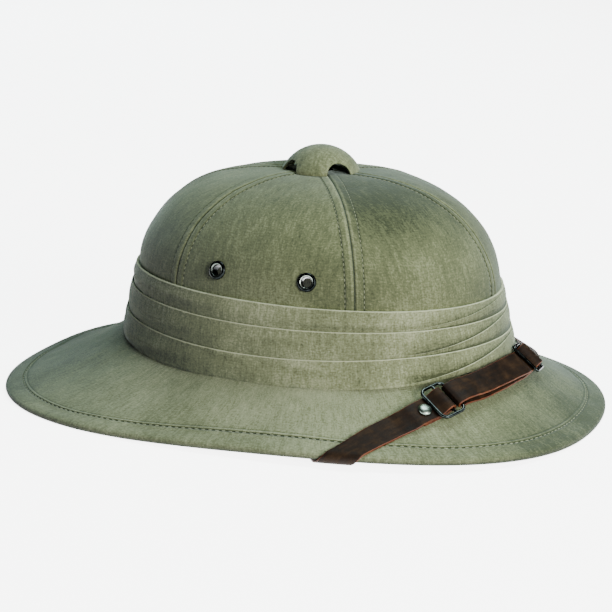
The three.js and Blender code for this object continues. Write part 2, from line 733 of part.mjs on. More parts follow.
function longStrapPath() {
  const ringBar = RING_AT + RING_HALF.along;
  const nearBar = SLIDE_AT - SLIDE_HALF.along;
  const farBar = SLIDE_AT + SLIDE_HALF.along;
  const hump = SLIDE_HALF.along - WIRE_LOOP;
  return [
    ...arcPath(SLIDE_AT, SLIDE_HEIGHT, BAR_LOOP, 165, -90, 7),
    { at: SLIDE_AT - 4, height: 1.8 },
    { at: nearBar, height: STRAP_LIFT },
    { at: lerp(nearBar, ringBar, 0.25), height: 1.2 },
    { at: lerp(nearBar, ringBar, 0.5), height: 1.4 },
    { at: lerp(nearBar, ringBar, 0.75), height: 1.7 },
    { at: ringBar + 6, height: 2.3 },
    ...arcPath(ringBar, RING_HEIGHT, WIRE_LOOP, -90, -270, 6),
    { at: ringBar + 8, height: 7.2 },
    { at: lerp(ringBar, nearBar, 0.3), height: 7.4 },
    { at: lerp(ringBar, nearBar, 0.5), height: 7.4 },
    { at: lerp(ringBar, nearBar, 0.7), height: 6.7 },
    { at: nearBar - 8, height: 4.8 },
    ...arcPath(nearBar, SLIDE_HEIGHT, WIRE_LOOP, -90, -15, 3),
    ...arcPath(SLIDE_AT, SLIDE_HEIGHT, hump, 170, 10, 7),
    ...arcPath(farBar, SLIDE_HEIGHT, WIRE_LOOP, 195, 270, 3),
    { at: farBar + 7, height: 1.7 },
    ...flatStations(farBar + 14, ROUTE_LENGTH - 6, 10),
    ...hiddenStations(1),
  ];
}

// Axes of a flat fitting that lies on the strap: along it, across it and away from the cloth.
function fittingMatrix(at) {
  const { point, across } = routeFrame(at);
  const reachOut = STRAP_WIDTH / 2;
  const origin = strapPoint(point.x, point.y, FITTING_LIFT);
  const ahead = routeFrame(at + reachOut).point;
  const behind = routeFrame(at - reachOut).point;
  const alongAxis = strapPoint(ahead.x, ahead.y, 0).sub(strapPoint(behind.x, behind.y, 0)).normalize();
  const right = strapPoint(point.x + across.x * reachOut, point.y + across.y * reachOut, 0);
  const left = strapPoint(point.x - across.x * reachOut, point.y - across.y * reachOut, 0);
  const upAxis = right.sub(left).cross(alongAxis).normalize();
  const acrossAxis = upAxis.clone().cross(alongAxis).normalize();
  return new THREE.Matrix4().makeBasis(alongAxis, acrossAxis, upAxis).setPosition(origin);
}

class RoundedLoop extends THREE.Curve {
  constructor(half) {
    super();
    this.half = half;
  }

  getPoint(part, target = new THREE.Vector3()) {
    const { along, across, corner } = this.half;
    const straightX = along - corner;
    const straightY = across - corner;
    const lengths = [2 * straightY, corner * Math.PI / 2, 2 * straightX, corner * Math.PI / 2];
    const total = 2 * lengths.reduce((sum, length) => sum + length, 0);
    let left = ((part % 1) + 1) % 1 * total;
    const sides = [
      { x: along, y: -straightY, dx: 0, dy: 1 },
      { cx: straightX, cy: straightY, from: 0 },
      { x: straightX, y: across, dx: -1, dy: 0 },
      { cx: -straightX, cy: straightY, from: 90 },
      { x: -along, y: straightY, dx: 0, dy: -1 },
      { cx: -straightX, cy: -straightY, from: 180 },
      { x: -straightX, y: -across, dx: 1, dy: 0 },
      { cx: straightX, cy: -straightY, from: 270 },
    ];
    for (let i = 0; i < sides.length; i += 1) {
      const length = lengths[i % 4];
      if (left <= length || i === sides.length - 1) {
        const side = sides[i];
        if (side.dx !== undefined) return target.set(side.x + side.dx * left, side.y + side.dy * left, 0);
        const turn = rad(side.from) + left / corner;
        return target.set(side.cx + corner * Math.cos(turn), side.cy + corner * Math.sin(turn), 0);
      }
      left -= length;
    }
    return target;
  }
}

// A wire frame with a middle bar, lying flat on its fitting's axes.
function buckleGeometry(half, barOffset, height, matrix, steps) {
  const sides = 7;
  const loop = new RoundedLoop(half);
  const columns = Array.from({ length: steps }, (_, i) => {
    const centre = loop.getPoint(i / steps);
    const way = loop.getPoint((i + 0.5) / steps).sub(loop.getPoint((i - 0.5) / steps)).normalize();
    const out = new THREE.Vector3(way.y, -way.x, 0);
    return Array.from({ length: sides }, (_unused, j) => {
      const turn = (j / sides) * 2 * Math.PI;
      const point = centre.clone().addScaledVector(out, WIRE_RADIUS * Math.cos(turn));
      return point.setZ(WIRE_RADIUS * Math.sin(turn));
    });
  });
  const bar = new THREE.CylinderGeometry(BAR_RADIUS, BAR_RADIUS, 2 * half.across - WIRE_RADIUS / 2, 8);
  bar.translate(barOffset, 0, 0);
  const joined = toSolid(latticeGeometry(columns, true)).add(toSolid(bar));
  const raised = new THREE.Matrix4().makeTranslation(0, 0, height).premultiply(matrix);
  return toGeometry(joined).applyMatrix4(raised);
}

// Rivet through both layers of the short strap, behind the buckle.
function rivetFrame() {
  const { matrix } = FITTINGS[0];
  const origin = new THREE.Vector3(-RIVET.back, 0, 0).applyMatrix4(matrix);
  const up = new THREE.Vector3().setFromMatrixColumn(matrix, 2);
  return { origin, up };
}

function rivetGeometry() {
  const { origin, up } = rivetFrame();
  const seat = UPPER_LIFT + STRAP_THICKNESS / 2 + GAP;
  const profile = [
    [0, 0],
    [RIVET.shank, 0],
    [RIVET.shank, seat],
    [RIVET.head, seat],
    [RIVET.head * 0.92, seat + RIVET.dome * 0.45],
    [RIVET.head * 0.6, seat + RIVET.dome * 0.88],
    [0, seat + RIVET.dome],
  ];
  return turnedGeometry(profile, origin, up, 14);
}

function shortStrapGeometry() {
  const { origin, up } = rivetFrame();
  const rivetHole = pinGeometry(RIVET.shank + GAP, -3, 7, origin, up, 12);
  const ribbon = toSolid(ribbonGeometry(shortStrapPath())).subtract(toSolid(rivetHole));
  return toGeometry(drilledForStud(ribbon, -1));
}

function longStrapGeometry() {
  return toGeometry(drilledForStud(toSolid(ribbonGeometry(longStrapPath())), 1));
}

// Studs that hold the strap's two ends to the crown's inner wall.
function studFrame(side) {
  const at = side < 0 ? -(HIDDEN_LENGTH - STUD.up) : ROUTE_LENGTH + HIDDEN_LENGTH - STUD.up;
  const { point } = routeFrame(at);
  const origin = strapPoint(point.x, point.y, 0);
  const inner = strapPoint(point.x, point.y, 4);
  return { origin, inward: inner.sub(origin).normalize() };
}

function drilledForStud(solid, side) {
  const { origin, inward } = studFrame(side);
  return solid.subtract(toSolid(pinGeometry(STUD.shank + GAP, -2, 6, origin, inward, 12)));
}

function studGeometry(side) {
  const { origin, inward } = studFrame(side);
  const seat = STRAP_LIFT + STRAP_THICKNESS / 2 + 1.5 * GAP;
  const profile = [
    [0, -SHELL_WALL + GAP],
    [STUD.shank, -SHELL_WALL + GAP],
    [STUD.shank, seat],
    [STUD.head, seat],
    [STUD.head, seat + STUD.plate * 0.6],
    [STUD.head * 0.7, seat + STUD.plate],
    [0, seat + STUD.plate],
  ];
  return turnedGeometry(profile, origin, inward, 12);
}

const ringGeometry = buckleGeometry(RING_HALF, RING_BAR_OFFSET, RING_HEIGHT, FITTINGS[0].matrix, 24);
const slideGeometry = buckleGeometry(SLIDE_HALF, 0, SLIDE_HEIGHT, FITTINGS[1].matrix, 20);

// The whole hat.
const hat = new THREE.Group();

function addPiece(name, geometry, finish) {
  const piece = new THREE.Mesh(geometry, new THREE.MeshStandardMaterial(COLOURS[finish]));
  piece.name = name;
  hat.add(piece);
}

for (const panel of CROWN_PANELS) addPiece(panel.name, crownPanelGeometry(panel.from), 'canvas');
for (const sector of BRIM_SECTORS) addPiece(sector.name, sixthGeometry(sector.from, brimColumn), 'brim');
addPiece('puggaree', bandGeometry(), 'band');
addPiece('vent_cap', ventCapGeometry(), 'canvas');
addPiece('vent_post', ventPostGeometry(), 'metal');
for (const place of EYELET_PLACES) addPiece(place.name, eyeletGeometry(place), 'metal');
addPiece('strap_short', shortStrapGeometry(), 'leather');
addPiece('strap_long', longStrapGeometry(), 'leather');
addPiece('strap_rivet', rivetGeometry(), 'metal');
addPiece('strap_ring', ringGeometry, 'metal');
addPiece('strap_slide', slideGeometry, 'metal');
addPiece('stud_near', studGeometry(-1), 'metal');
addPiece('stud_far', studGeometry(1), 'metal');

export default hat;
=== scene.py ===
"""A cloth-covered pith helmet with its chin strap up over the front, dressed for a studio picture.

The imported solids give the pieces' places. Sizes below are in millimetres and turn into metres
where a mesh is made. +X is the hat's front, +Y its left side and +Z up."""
import math

import bpy
import numpy as np
from mathutils import Matrix, Vector


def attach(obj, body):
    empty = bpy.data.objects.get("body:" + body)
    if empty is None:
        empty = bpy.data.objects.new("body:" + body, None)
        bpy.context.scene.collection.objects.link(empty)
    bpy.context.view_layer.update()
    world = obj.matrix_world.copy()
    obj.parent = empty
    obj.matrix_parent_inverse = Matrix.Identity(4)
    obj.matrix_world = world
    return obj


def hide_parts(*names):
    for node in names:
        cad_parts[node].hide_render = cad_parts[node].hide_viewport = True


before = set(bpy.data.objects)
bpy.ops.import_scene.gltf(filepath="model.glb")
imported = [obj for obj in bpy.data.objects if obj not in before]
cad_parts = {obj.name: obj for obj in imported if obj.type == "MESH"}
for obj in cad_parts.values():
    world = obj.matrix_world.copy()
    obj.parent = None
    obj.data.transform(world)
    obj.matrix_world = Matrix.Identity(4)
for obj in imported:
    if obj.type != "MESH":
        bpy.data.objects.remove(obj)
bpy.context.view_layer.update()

MM = 0.001

# Crown.
FOOT_HEIGHT = 33.9
CROWN_X = 4.6
FOOT_HALF = (117.0, 99.0)
BAND_TOP_HALF = (111.2, 94.9)
BAND_HEIGHT = 44.2
CROWN_RISE = 105.2
DOME_SHOULDER = 1.82
DOME_FULLNESS = 3.07
SHELL_WALL = 3.0
VENT_HOLE_RADIUS = 6.0
FOOT_SWAY = (1.5, 2.8)
BAND_TOP_SWAY = (-2.1, -1.1)
PANEL_SEAMS = [math.radians(turn) for turn in range(0, 360, 60)]
SEAM_STITCH = 5.5
# Distances from a seam at which the cloth has its columns.
SEAM_COLUMNS = np.array([0, 0.45, 0.9, 1.5, 2.4, 3.4, 4.3, 4.9, 5.2, 5.5, 5.8, 6.2, 7, 8.5])
# The turn, in radians, at which heights up the dome are measured.
NEAR_SIDE = -1.0

# Brim.
BRIM_START_HALF = (121.0, 103.0)
BRIM_START_DROP = 1.5
BRIM_HALF_THICKNESS = 1.5
BRIM_HOLLOW = 0.28
RIM_X = -3.4
RIM_HALF = (186.0, 142.3)
RIM_SWELL = {"square": -0.042, "front": 0.018}
RIM_DROP = 30.2
RIM_SWAY = {"fore": 0.6, "ends": -0.7, "thrice": -1.9}
RIM_RADIUS = 2.2
RIM_BLEND = 8.0
HEM_LINES = (9.5, 11.6)
# How much darker the brim is made over its outer part, towards the rim.
OUTER_BRIM_DARKENING = 0.14
# Distances in from the rim's centre at which the hem's cloth has its rows.
HEM_ROWS = np.array([
    28, 22, 18, 15, 13.4, 12.7, 12.2, 11.9, HEM_LINES[1], 11.3, 11.0, 10.55, 10.1, 9.8, HEM_LINES[0],
    9.2, 8.9, 8.5, 7.8, 6.6, 5, 3.4, 1.8,
])

# Band.
GAP = 0.3
BAND_LIFT = 0.42
CLOTH_INNER_LAYER = 1.3
FOLD_STEP = 1.05
UPPER_FOLD = 32.0
LOWER_FOLD = 16.4
CROSSING = {"from": -46.0, "to": 12.0, "step": 0.75, "faint": 0.45}
LAYER_FULLNESS = 1.0
# Up from the fold, back from the layer below, and painted shading, at each point over a fold's edge: a
# painted highlight along the edge and painted shade under it.
FOLD_EDGE = [
    (-1.3, 0.0, 0.0), (-0.75, -0.1, 0.0), (-0.45, -0.14, 0.35), (-0.15, -0.02, 0.9),
    (0.0, 0.3, 0.8), (-0.06, 0.62, -0.4), (-0.45, 0.84, -1.0),
]
SHADOW_OVER_FOLD = -0.75

# Fittings.
CAP = {"radius": 23.0, "height": 15.0, "wall": 2.0, "notch_half": 8.0, "notch_height": 7.3}
CAP_NOTCH_TURNS = (51, 141, 231, 321)
POST_HEAD_CLEARANCE = 1.05
POST_RADIUS = 5.5
EYELET = {"radius": 5.4, "barrel": 3.6, "hole": 2.7, "level": 1.137}
EYELET_TURNS = {
    "eyelet_near_front": -74.5, "eyelet_near_back": -103.7,
    "eyelet_far_front": 74.5, "eyelet_far_back": 103.7,
}

# Strap.
STRAP_WIDTH = 15.6
STRAP_THICKNESS = 1.4
STRAP_LIFT = 1.1
UPPER_LIFT = 2.85
CUT_EDGE = 0.6
SLOPE_NARROWING = 0.21
STRAP_GAP = 0.35
ROUTE = [
    (74.9, -127.6), (83.3, -113.9), (90.8, -103.4), (98.5, -92.2), (106.4, -79.8), (112.4, -68.5),
    (118.2, -57.0), (123.9, -43.5), (128.6, -26.0), (131.2, -8.0), (131.5, 2.0), (130.6, 18.0),
    (127.4, 34.0), (121.0, 52.0), (112.0, 69.0), (101.0, 88.0), (88.0, 108.0), (74.9, 127.6),
]
ROUTE_RING_Y = -73.2
ROUTE_SLIDE_Y = 9.0
HIDDEN_LENGTH = 109.0
FLAT_BLEND = 12.0
FITTING_LIFT = 0.4
CORNER_EASE = 0.8
SLANT_START = 6.0
SLANT_BLEND = 34.0
WIRE_RADIUS = 1.0
BAR_RADIUS = 0.9
RING_HALF = {"along": 8.2, "across": 11.2, "corner": 3.8}
RING_BAR_OFFSET = 1.0
RING_HEIGHT = 4.9
SLIDE_HALF = {"along": 6.0, "across": 9.8, "corner": 1.6}
SLIDE_HEIGHT = 5.0
RIVET = {"back": 13.5, "head": 4.0, "dome": 2.2, "shank": 1.6}
STUD = {"up": 9.0, "head": 4.0, "shank": 1.5}

# The photograph's camera, about a pivot near the middle of the hat.
CAMERA = {
    "azimuth": math.radians(22.25),
    "elevation": math.radians(13.84),
    "roll": math.radians(1.38),
    "distance": 1379.5,
    "pivot": Vector((-2.1, 0.0, 73.9)),
    "pivot_pixel": (308.36, 273.55),
    "scale": 1.65,
    "frame": 612.0,
}
SENSOR = 36.0


# Shapes of the hat, as functions of the turn round it.
def lerp(a, b, part):
    return a + (b - a) * part


def smooth(x):
    x = np.clip(x, 0, 1)
    return x * x * (3 - 2 * x)


def stack(x, y, z):
    return np.stack(np.broadcast_arrays(x, y, z), axis=-1)


def unit(vectors):
    return vectors / np.linalg.norm(vectors, axis=-1, keepdims=True)


def hump(distance, width):
    """A soft bump, 1 in the middle and near 0 at twice its width."""
    return np.exp(-(distance / width) ** 2)


def sway(rise, turn):
    return rise[0] * np.cos(turn) + rise[1] * np.cos(2 * turn)


def degrees_round(turn):
    return np.degrees(np.arctan2(np.sin(turn), np.cos(turn)))


def crown_point(turn, level):
    """level is 0 at the crown's foot, 1 at the band's top and 2 at the apex."""
    low = np.clip(level, 0, 1)
    reach = np.cos(np.clip(level - 1, 0, 1) * np.pi / 2)
    climb = np.clip(1 - reach ** DOME_FULLNESS, 0, 1) ** (1 / DOME_SHOULDER)
    height = BAND_HEIGHT * low + (CROWN_RISE - BAND_HEIGHT) * climb
    rise = lerp(sway(FOOT_SWAY, turn), sway(BAND_TOP_SWAY, turn), low) * (1 - climb)
    return stack(
        CROWN_X + lerp(FOOT_HALF[0], BAND_TOP_HALF[0], low) * reach * np.cos(turn),
        lerp(FOOT_HALF[1], BAND_TOP_HALF[1], low) * reach * np.sin(turn),
        FOOT_HEIGHT + height + rise,
    )


def surface_normal(surface, turn, other):
    step = 1e-3
    along_turn = surface(turn + step, other) - surface(turn - step, other)
    along_other = surface(turn, other + step) - surface(turn, other - step)
    return unit(np.cross(along_turn, along_other))


def crown_normal(turn, level):
    level = np.where(np.abs(np.asarray(level, float) - 1) < 2e-3, 0.997, level)
    return surface_normal(crown_point, turn, np.maximum(level, 0.002))


def crown_offset(turn, level, out):
    return crown_point(turn, level) + crown_normal(turn, level) * np.asarray(out)[..., None]


def brim_start(turn):
    return stack(
        CROWN_X + BRIM_START_HALF[0] * np.cos(turn),
        BRIM_START_HALF[1] * np.sin(turn),
        FOOT_HEIGHT - BRIM_START_DROP + sway(FOOT_SWAY, turn),
    )


def rim_point(turn):
    swell = 1 + RIM_SWELL["square"] * np.cos(4 * turn) + RIM_SWELL["front"] * np.cos(3 * turn)
    rise = sway((RIM_SWAY["fore"], RIM_SWAY["ends"]), turn) + RIM_SWAY["thrice"] * np.cos(3 * turn)
    return stack(
        RIM_X + RIM_HALF[0] * swell * np.cos(turn),
        RIM_HALF[1] * swell * np.sin(turn),
        FOOT_HEIGHT - RIM_DROP + rise,
    )


def brim_middle(turn, reach):
    """reach is 0 at the band's foot and 1 at the centre of the rim."""
    start = brim_start(turn)
    end = rim_point(turn)
    fall = reach + BRIM_HOLLOW * reach * (1 - reach)
    return stack(
        lerp(start[..., 0], end[..., 0], reach),
        lerp(start[..., 1], end[..., 1], reach),
        lerp(start[..., 2], end[..., 2], fall),
    )


def brim_width(turn):
    across = (rim_point(turn) - brim_start(turn))[..., :2]
    return np.linalg.norm(across, axis=-1)


def brim_half_thickness(turn, reach):
    from_rim = (1 - reach) * brim_width(turn)
    return lerp(BRIM_HALF_THICKNESS, RIM_RADIUS, smooth(1 - from_rim / RIM_BLEND))


def brim_normal(turn, reach):
    return -surface_normal(brim_middle, turn, reach)


def brim_face(turn, reach, side, lift):
    """A point above (side 1) or below (side -1) the brim, at a height over its cloth."""
    out = side * (brim_half_thickness(turn, reach) + lift)
    return brim_middle(turn, reach) + brim_normal(turn, reach) * np.asarray(out)[..., None]


def brim_height(turn, reach, side, lift):
    steepness = brim_normal(turn, reach)[..., 2]
    out = side * (brim_half_thickness(turn, reach) + lift)
    return brim_middle(turn, reach)[..., 2] + out / steepness


def rim_edge(turn, around, lift):
    """A point of the round edge: around is 0 on top and pi underneath."""
    normal = brim_normal(turn, 1.0)
    way = rim_point(turn + 1e-3) - rim_point(turn - 1e-3)
    outward = unit(np.cross(way, normal))
    radius = np.asarray(RIM_RADIUS + lift)[..., None]
    around = np.asarray(around)[..., None]
    return rim_point(turn) + (normal * np.cos(around) + outward * np.sin(around)) * radius


def foot_reach(turn):
    return -(BRIM_START_HALF[0] - FOOT_HALF[0]) / brim_width(turn)


def beside_crown(turn, out):
    level_way = crown_normal(turn, 0.0) * np.array([1, 1, 0])
    return unit(level_way) * np.asarray(out)[..., None]


def beside_foot(turn, out):
    return crown_point(turn, 0.0) + beside_crown(turn, out)


def inner_reach(turn):
    return foot_reach(turn) - SHELL_WALL / brim_width(turn)


def inner_foot(turn):
    foot = beside_foot(turn, -SHELL_WALL)
    foot[..., 2] = brim_height(turn, inner_reach(turn), -1, 0)
    return foot


def ripple(points, waves):
    """A soft unevenness: a few long waves through space, in millimetres."""
    total = np.zeros(points.shape[:-1])
    for wave in waves:
        phase = points @ (np.array(wave["way"]) * 2 * np.pi / wave["length"]) + wave["phase"]
        total += wave["depth"] * np.sin(phase)
    return total


CLOTH_WAVES = [
    {"way": (1.0, 0.3, 0.2), "length": 61.0, "phase": 0.4, "depth": 0.16},
    {"way": (-0.4, 1.0, 0.5), "length": 47.0, "phase": 2.1, "depth": 0.14},
    {"way": (0.6, 0.5, 1.0), "length": 33.0, "phase": 4.0, "depth": 0.1},
    {"way": (1.0, -0.8, 0.1), "length": 21.0, "phase": 1.2, "depth": 0.05},
    {"way": (0.2, 0.9, -0.9), "length": 14.0, "phase": 3.3, "depth": 0.03},
]


# Finishes.
def new_finish(name):
    finish = bpy.data.materials.new(name)
    finish.use_nodes = True
    finish.node_tree.nodes.clear()
    return finish


class Shader:
    """One finish's nodes, wired by short calls."""

    def __init__(self, finish):
        self.tree = finish.node_tree
        self.surface = self.add("ShaderNodeBsdfPrincipled")
        output = self.add("ShaderNodeOutputMaterial")
        self.join(self.surface.outputs[0], output.inputs[0])

    def add(self, kind, inputs=None, **settings):
        made = self.tree.nodes.new(kind)
        for key, value in settings.items():
            setattr(made, key, value)
        for key, value in (inputs or {}).items():
            self.put(made.inputs[key], value)
        return made

    def put(self, socket, value):
        if isinstance(value, bpy.types.NodeSocket):
            self.join(value, socket)
        else:
            socket.default_value = value

    def join(self, start, end):
        self.tree.links.new(start, end)

    def space(self, kind, scale=(1, 1, 1)):
        place = self.add("ShaderNodeTexCoord")
        return self.add(
            "ShaderNodeMapping", {"Vector": place.outputs[kind], "Scale": scale}
        ).outputs[0]

    def noise(self, vector, scale, detail=3.0, roughness=0.55):
        return self.add(
            "ShaderNodeTexNoise",
            {"Vector": vector, "Scale": scale, "Detail": detail, "Roughness": roughness},
        ).outputs[0]

    def ramp(self, value, stops):
        made = self.add("ShaderNodeValToRGB", {"Fac": value})
        made.color_ramp.elements.remove(made.color_ramp.elements[1])
        for index, (place, colour) in enumerate(stops):
            stop = made.color_ramp.elements[0] if index == 0 else made.color_ramp.elements.new(place)
            stop.position = place
            stop.color = (*colour, 1)
        return made.outputs[0]

    def sum(self, first, second, how="ADD"):
        made = self.add("ShaderNodeMath", operation=how)
        self.put(made.inputs[0], first)
        self.put(made.inputs[1], second)
        return made.outputs[0]

    def scaled(self, value, low, high):
        """Spreads a value between two numbers."""
        made = self.add(
            "ShaderNodeMapRange", {"Value": value, "To Min": low, "To Max": high}
        )
        return made.outputs[0]

    def bump(self, height, strength, distance, below=None):
        made = self.add(
            "ShaderNodeBump", {"Height": height, "Strength": strength, "Distance": distance * MM}
        )
        if below is not None:
            self.join(below, made.inputs["Normal"])
        return made.outputs[0]


def linear(colour):
    """Scene colour of three display values from 0 to 255."""
    return tuple((part / 255) ** 2.2 for part in colour)


WEAVE_PITCH = 0.9
# A wave node at scale 1 repeats at this length.
WAVE_NODE_PERIOD = 0.3142


def canvas_finish(name, dark, middle, light, map_kind="UV"):
    """Washed cotton canvas: mottled dye, slubs along both threads, and a fine plain weave."""
    finish = new_finish(name)
    shader = Shader(finish)
    body = shader.space("Object")
    cloth = shader.space(map_kind)
    clouds = shader.noise(body, 20, 3, 0.5)
    patches = shader.noise(body, 110, 3, 0.5)
    warp = shader.noise(shader.space(map_kind, (1000, 240, 240)), 1, 2)
    weft = shader.noise(shader.space(map_kind, (300, 1100, 300)), 1, 2)
    grain = shader.noise(cloth, 900, 3)
    brushed = shader.noise(shader.space(map_kind, (380, 80, 80)), 1, 3, 0.6)
    slubs = shader.sum(warp, weft)
    # A mesh attribute lightens and darkens the cloth: painted shade and painted highlights at the seams,
    # hem, folds and brim.
    wear_and_painted_shading = shader.add("ShaderNodeAttribute", attribute_name="wear_and_painted_shading").outputs["Fac"]
    tone = shader.sum(shader.scaled(clouds, -0.42, 0.42), shader.scaled(patches, -0.12, 0.12))
    tone = shader.sum(tone, shader.scaled(brushed, -0.32, 0.32))
    tone = shader.sum(tone, shader.sum(shader.sum(slubs, -1.0), 0.5, "MULTIPLY"))
    tone = shader.sum(tone, shader.scaled(grain, -0.45, 0.45))
    tone = shader.sum(tone, shader.sum(wear_and_painted_shading, 0.5))
    colour = shader.ramp(tone, [(0.0, dark), (0.5, middle), (1.0, light)])
    threads = [
        shader.add(
            "ShaderNodeTexWave",
            {"Vector": cloth, "Scale": WAVE_NODE_PERIOD / (WEAVE_PITCH * MM)},
            bands_direction=way,
        ).outputs["Fac"]
        for way in "XY"
    ]
    weave = shader.sum(*threads, "MULTIPLY")
    relief = shader.bump(weave, 0.3, 0.12)
    relief = shader.bump(slubs, 0.55, 0.22, relief)
    relief = shader.bump(patches, 0.3, 0.5, relief)
    surface = shader.surface
    shader.join(colour, surface.inputs["Base Color"])
    shader.join(relief, surface.inputs["Normal"])
    surface.inputs["Roughness"].default_value = 0.92
    surface.inputs["Specular IOR Level"].default_value = 0.2
    surface.inputs["Sheen Weight"].default_value = 0.25
    surface.inputs["Sheen Roughness"].default_value = 0.5
    surface.inputs["Sheen Tint"].default_value = (0.62, 0.78, 0.76, 1)
    return finish


def leather_finish(name, dark, middle, light, roughness, shine):
    """Smooth oiled leather: cloudy tone, fine pores and creases, and scuffs that catch the light."""
    finish = new_finish(name)
    shader = Shader(finish)
    body = shader.space("Object")
    clouds = shader.noise(body, 120, 5, 0.65)
    streaks = shader.noise(shader.space("UV", (500, 60, 60)), 1, 3)
    tone = shader.sum(shader.scaled(clouds, -0.8, 0.8), shader.scaled(streaks, -0.35, 0.35))
    tone = shader.sum(tone, 0.5)
    colour = shader.ramp(tone, [(0.1, dark), (0.5, middle), (0.9, light)])
    pores = shader.add(
        "ShaderNodeTexVoronoi", {"Vector": body, "Scale": 1100}, feature="DISTANCE_TO_EDGE"
    ).outputs["Distance"]
    relief = shader.bump(pores, 0.35, 0.1)
    relief = shader.bump(shader.noise(body, 420, 4, 0.6), 0.4, 0.25, relief)
    surface = shader.surface
    shader.join(colour, surface.inputs["Base Color"])
    shader.join(relief, surface.inputs["Normal"])
    shader.join(shader.scaled(clouds, roughness - 0.12, roughness + 0.12), surface.inputs["Roughness"])
    surface.inputs["Specular IOR Level"].default_value = shine
    return finish


def metal_finish(name, dark, light, roughness):
    """Plated metal that is a little worn and uneven."""
    finish = new_finish(name)
    shader = Shader(finish)
    body = shader.space("Object")
    wear_and_painted_shading = shader.noise(body, 260, 3, 0.5)
    colour = shader.ramp(wear_and_painted_shading, [(0.35, dark), (0.7, light)])
    relief = shader.bump(shader.noise(body, 1600, 2), 0.06, 0.04)
    surface = shader.surface
    shader.join(colour, surface.inputs["Base Color"])
    shader.join(relief, surface.inputs["Normal"])
    shader.join(shader.scaled(wear_and_painted_shading, roughness - 0.08, roughness + 0.12), surface.inputs["Roughness"])
    surface.inputs["Metallic"].default_value = 1.0
    return finish


def thread_finish(name, colour):
    finish = new_finish(name)
    shader = Shader(finish)
    fibres = shader.noise(shader.space("Object"), 2600, 2)
    tone = shader.ramp(fibres, [(0.3, tuple(0.7 * part for part in colour)), (0.7, colour)])
    shader.join(tone, shader.surface.inputs["Base Color"])
    shader.join(shader.bump(fibres, 0.4, 0.05), shader.surface.inputs["Normal"])
    shader.surface.inputs["Roughness"].default_value = 0.8
    return finish


CROWN_CANVAS = canvas_finish(
    "crown_canvas", linear((42, 48, 29)), linear((84, 90, 63)), linear((128, 134, 103))
)
BRIM_CANVAS = canvas_finish(
    "brim_canvas", linear((50, 57, 37)), linear((95, 102, 75)), linear((136, 143, 115))
)
BAND_CANVAS = canvas_finish(
    "band_canvas", linear((56, 61, 40)), linear((108, 114, 85)), linear((160, 165, 136))
)
CAP_CANVAS = canvas_finish(
    "cap_canvas", linear((46, 52, 33)), linear((90, 96, 69)), linear((132, 138, 108)), "Object"
)
LEATHER = leather_finish(
    "strap_leather", linear((14, 10, 6)), linear((29, 20, 12)), linear((50, 37, 24)), 0.62, 0.1
)
LEATHER_EDGE = leather_finish(
    "strap_cut_edge", linear((44, 20, 9)), linear((80, 40, 19)), linear((108, 62, 33)), 0.5, 0.25
)
GUNMETAL = metal_finish("gunmetal", linear((34, 38, 38)), linear((66, 72, 71)), 0.2)
BLACK_PLATE = metal_finish("black_plate", linear((12, 14, 15)), linear((34, 37, 37)), 0.24)
NICKEL = metal_finish("worn_nickel", linear((70, 76, 72)), linear((120, 126, 120)), 0.28)
# Steel, with a green tint that is a painted reflection of the olive cloth round it.
RIVET_STEEL_GREEN_REFLECTION = metal_finish("rivet_steel_green_reflection", linear((88, 104, 96)), linear((140, 152, 142)), 0.3)
SEAM_THREAD = thread_finish("seam_thread", linear((124, 130, 102)))
HEM_THREAD = thread_finish("hem_thread", linear((138, 146, 118)))


# Mesh helpers.
def clear_selection():
    if bpy.context.mode != "OBJECT":
        bpy.ops.object.mode_set(mode="OBJECT")
    bpy.ops.object.select_all(action="DESELECT")


def take_up(piece):
    clear_selection()
    piece.select_set(True)
    bpy.context.view_layer.objects.active = piece


def nodes_named(start):
    return [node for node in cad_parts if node.startswith(start)]


def dress(piece, name, finish, replaces=()):
    piece.name = name
    piece.data.name = name
    piece.data.materials.clear()
    for one in finish if isinstance(finish, (list, tuple)) else [finish]:
        piece.data.materials.append(one)
    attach(piece, "root")
    if replaces:
        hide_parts(*replaces)
    return piece


def cloth_grid(points, uv, smooth_angle=50, wear_and_painted_shading=None):
    """A grid laid out flat, with its points moved onto a curved surface. points is (columns,
    rows, 3), and its last column or row repeats the first where the surface closes on itself.
    Its last argument gives how much lighter or darker the cloth is painted at each point, mostly as painted
    shade and painted highlights."""
    columns, rows = points.shape[:2]
    clear_selection()
    bpy.ops.mesh.primitive_grid_add(x_subdivisions=columns - 1, y_subdivisions=rows - 1, size=1)
    piece = bpy.context.object
    mesh = piece.data
    mesh.vertices.foreach_set("co", (points.transpose(1, 0, 2) * MM).ravel())
    corner_points = np.zeros(len(mesh.loops), int)
    mesh.loops.foreach_get("vertex_index", corner_points)
    corners = uv.transpose(1, 0, 2).reshape(-1, 2)[corner_points] * MM
    mesh.uv_layers.active.data.foreach_set("uv", corners.ravel())
    if wear_and_painted_shading is not None:
        layer = mesh.attributes.new("wear_and_painted_shading", "FLOAT", "POINT")
        layer.data.foreach_set("value", wear_and_painted_shading.transpose(1, 0).ravel())
    bpy.ops.object.mode_set(mode="EDIT")
    bpy.ops.mesh.select_all(action="SELECT")
    bpy.ops.mesh.remove_doubles(threshold=1e-6)
    bpy.ops.mesh.select_all(action="DESELECT")
    bpy.ops.mesh.select_mode(type="EDGE")
    bpy.ops.mesh.select_non_manifold()
    bpy.ops.mesh.fill_holes(sides=0)
    bpy.ops.mesh.select_mode(type="VERT")
    bpy.ops.mesh.select_all(action="SELECT")
    bpy.ops.mesh.normals_make_consistent(inside=False)
    bpy.ops.object.mode_set(mode="OBJECT")
    bpy.ops.object.shade_smooth_by_angle(angle=math.radians(smooth_angle))
    return piece


def closed(points, axis):
    first = np.take(points, [0], axis=axis)
    return np.concatenate([points, first], axis=axis)


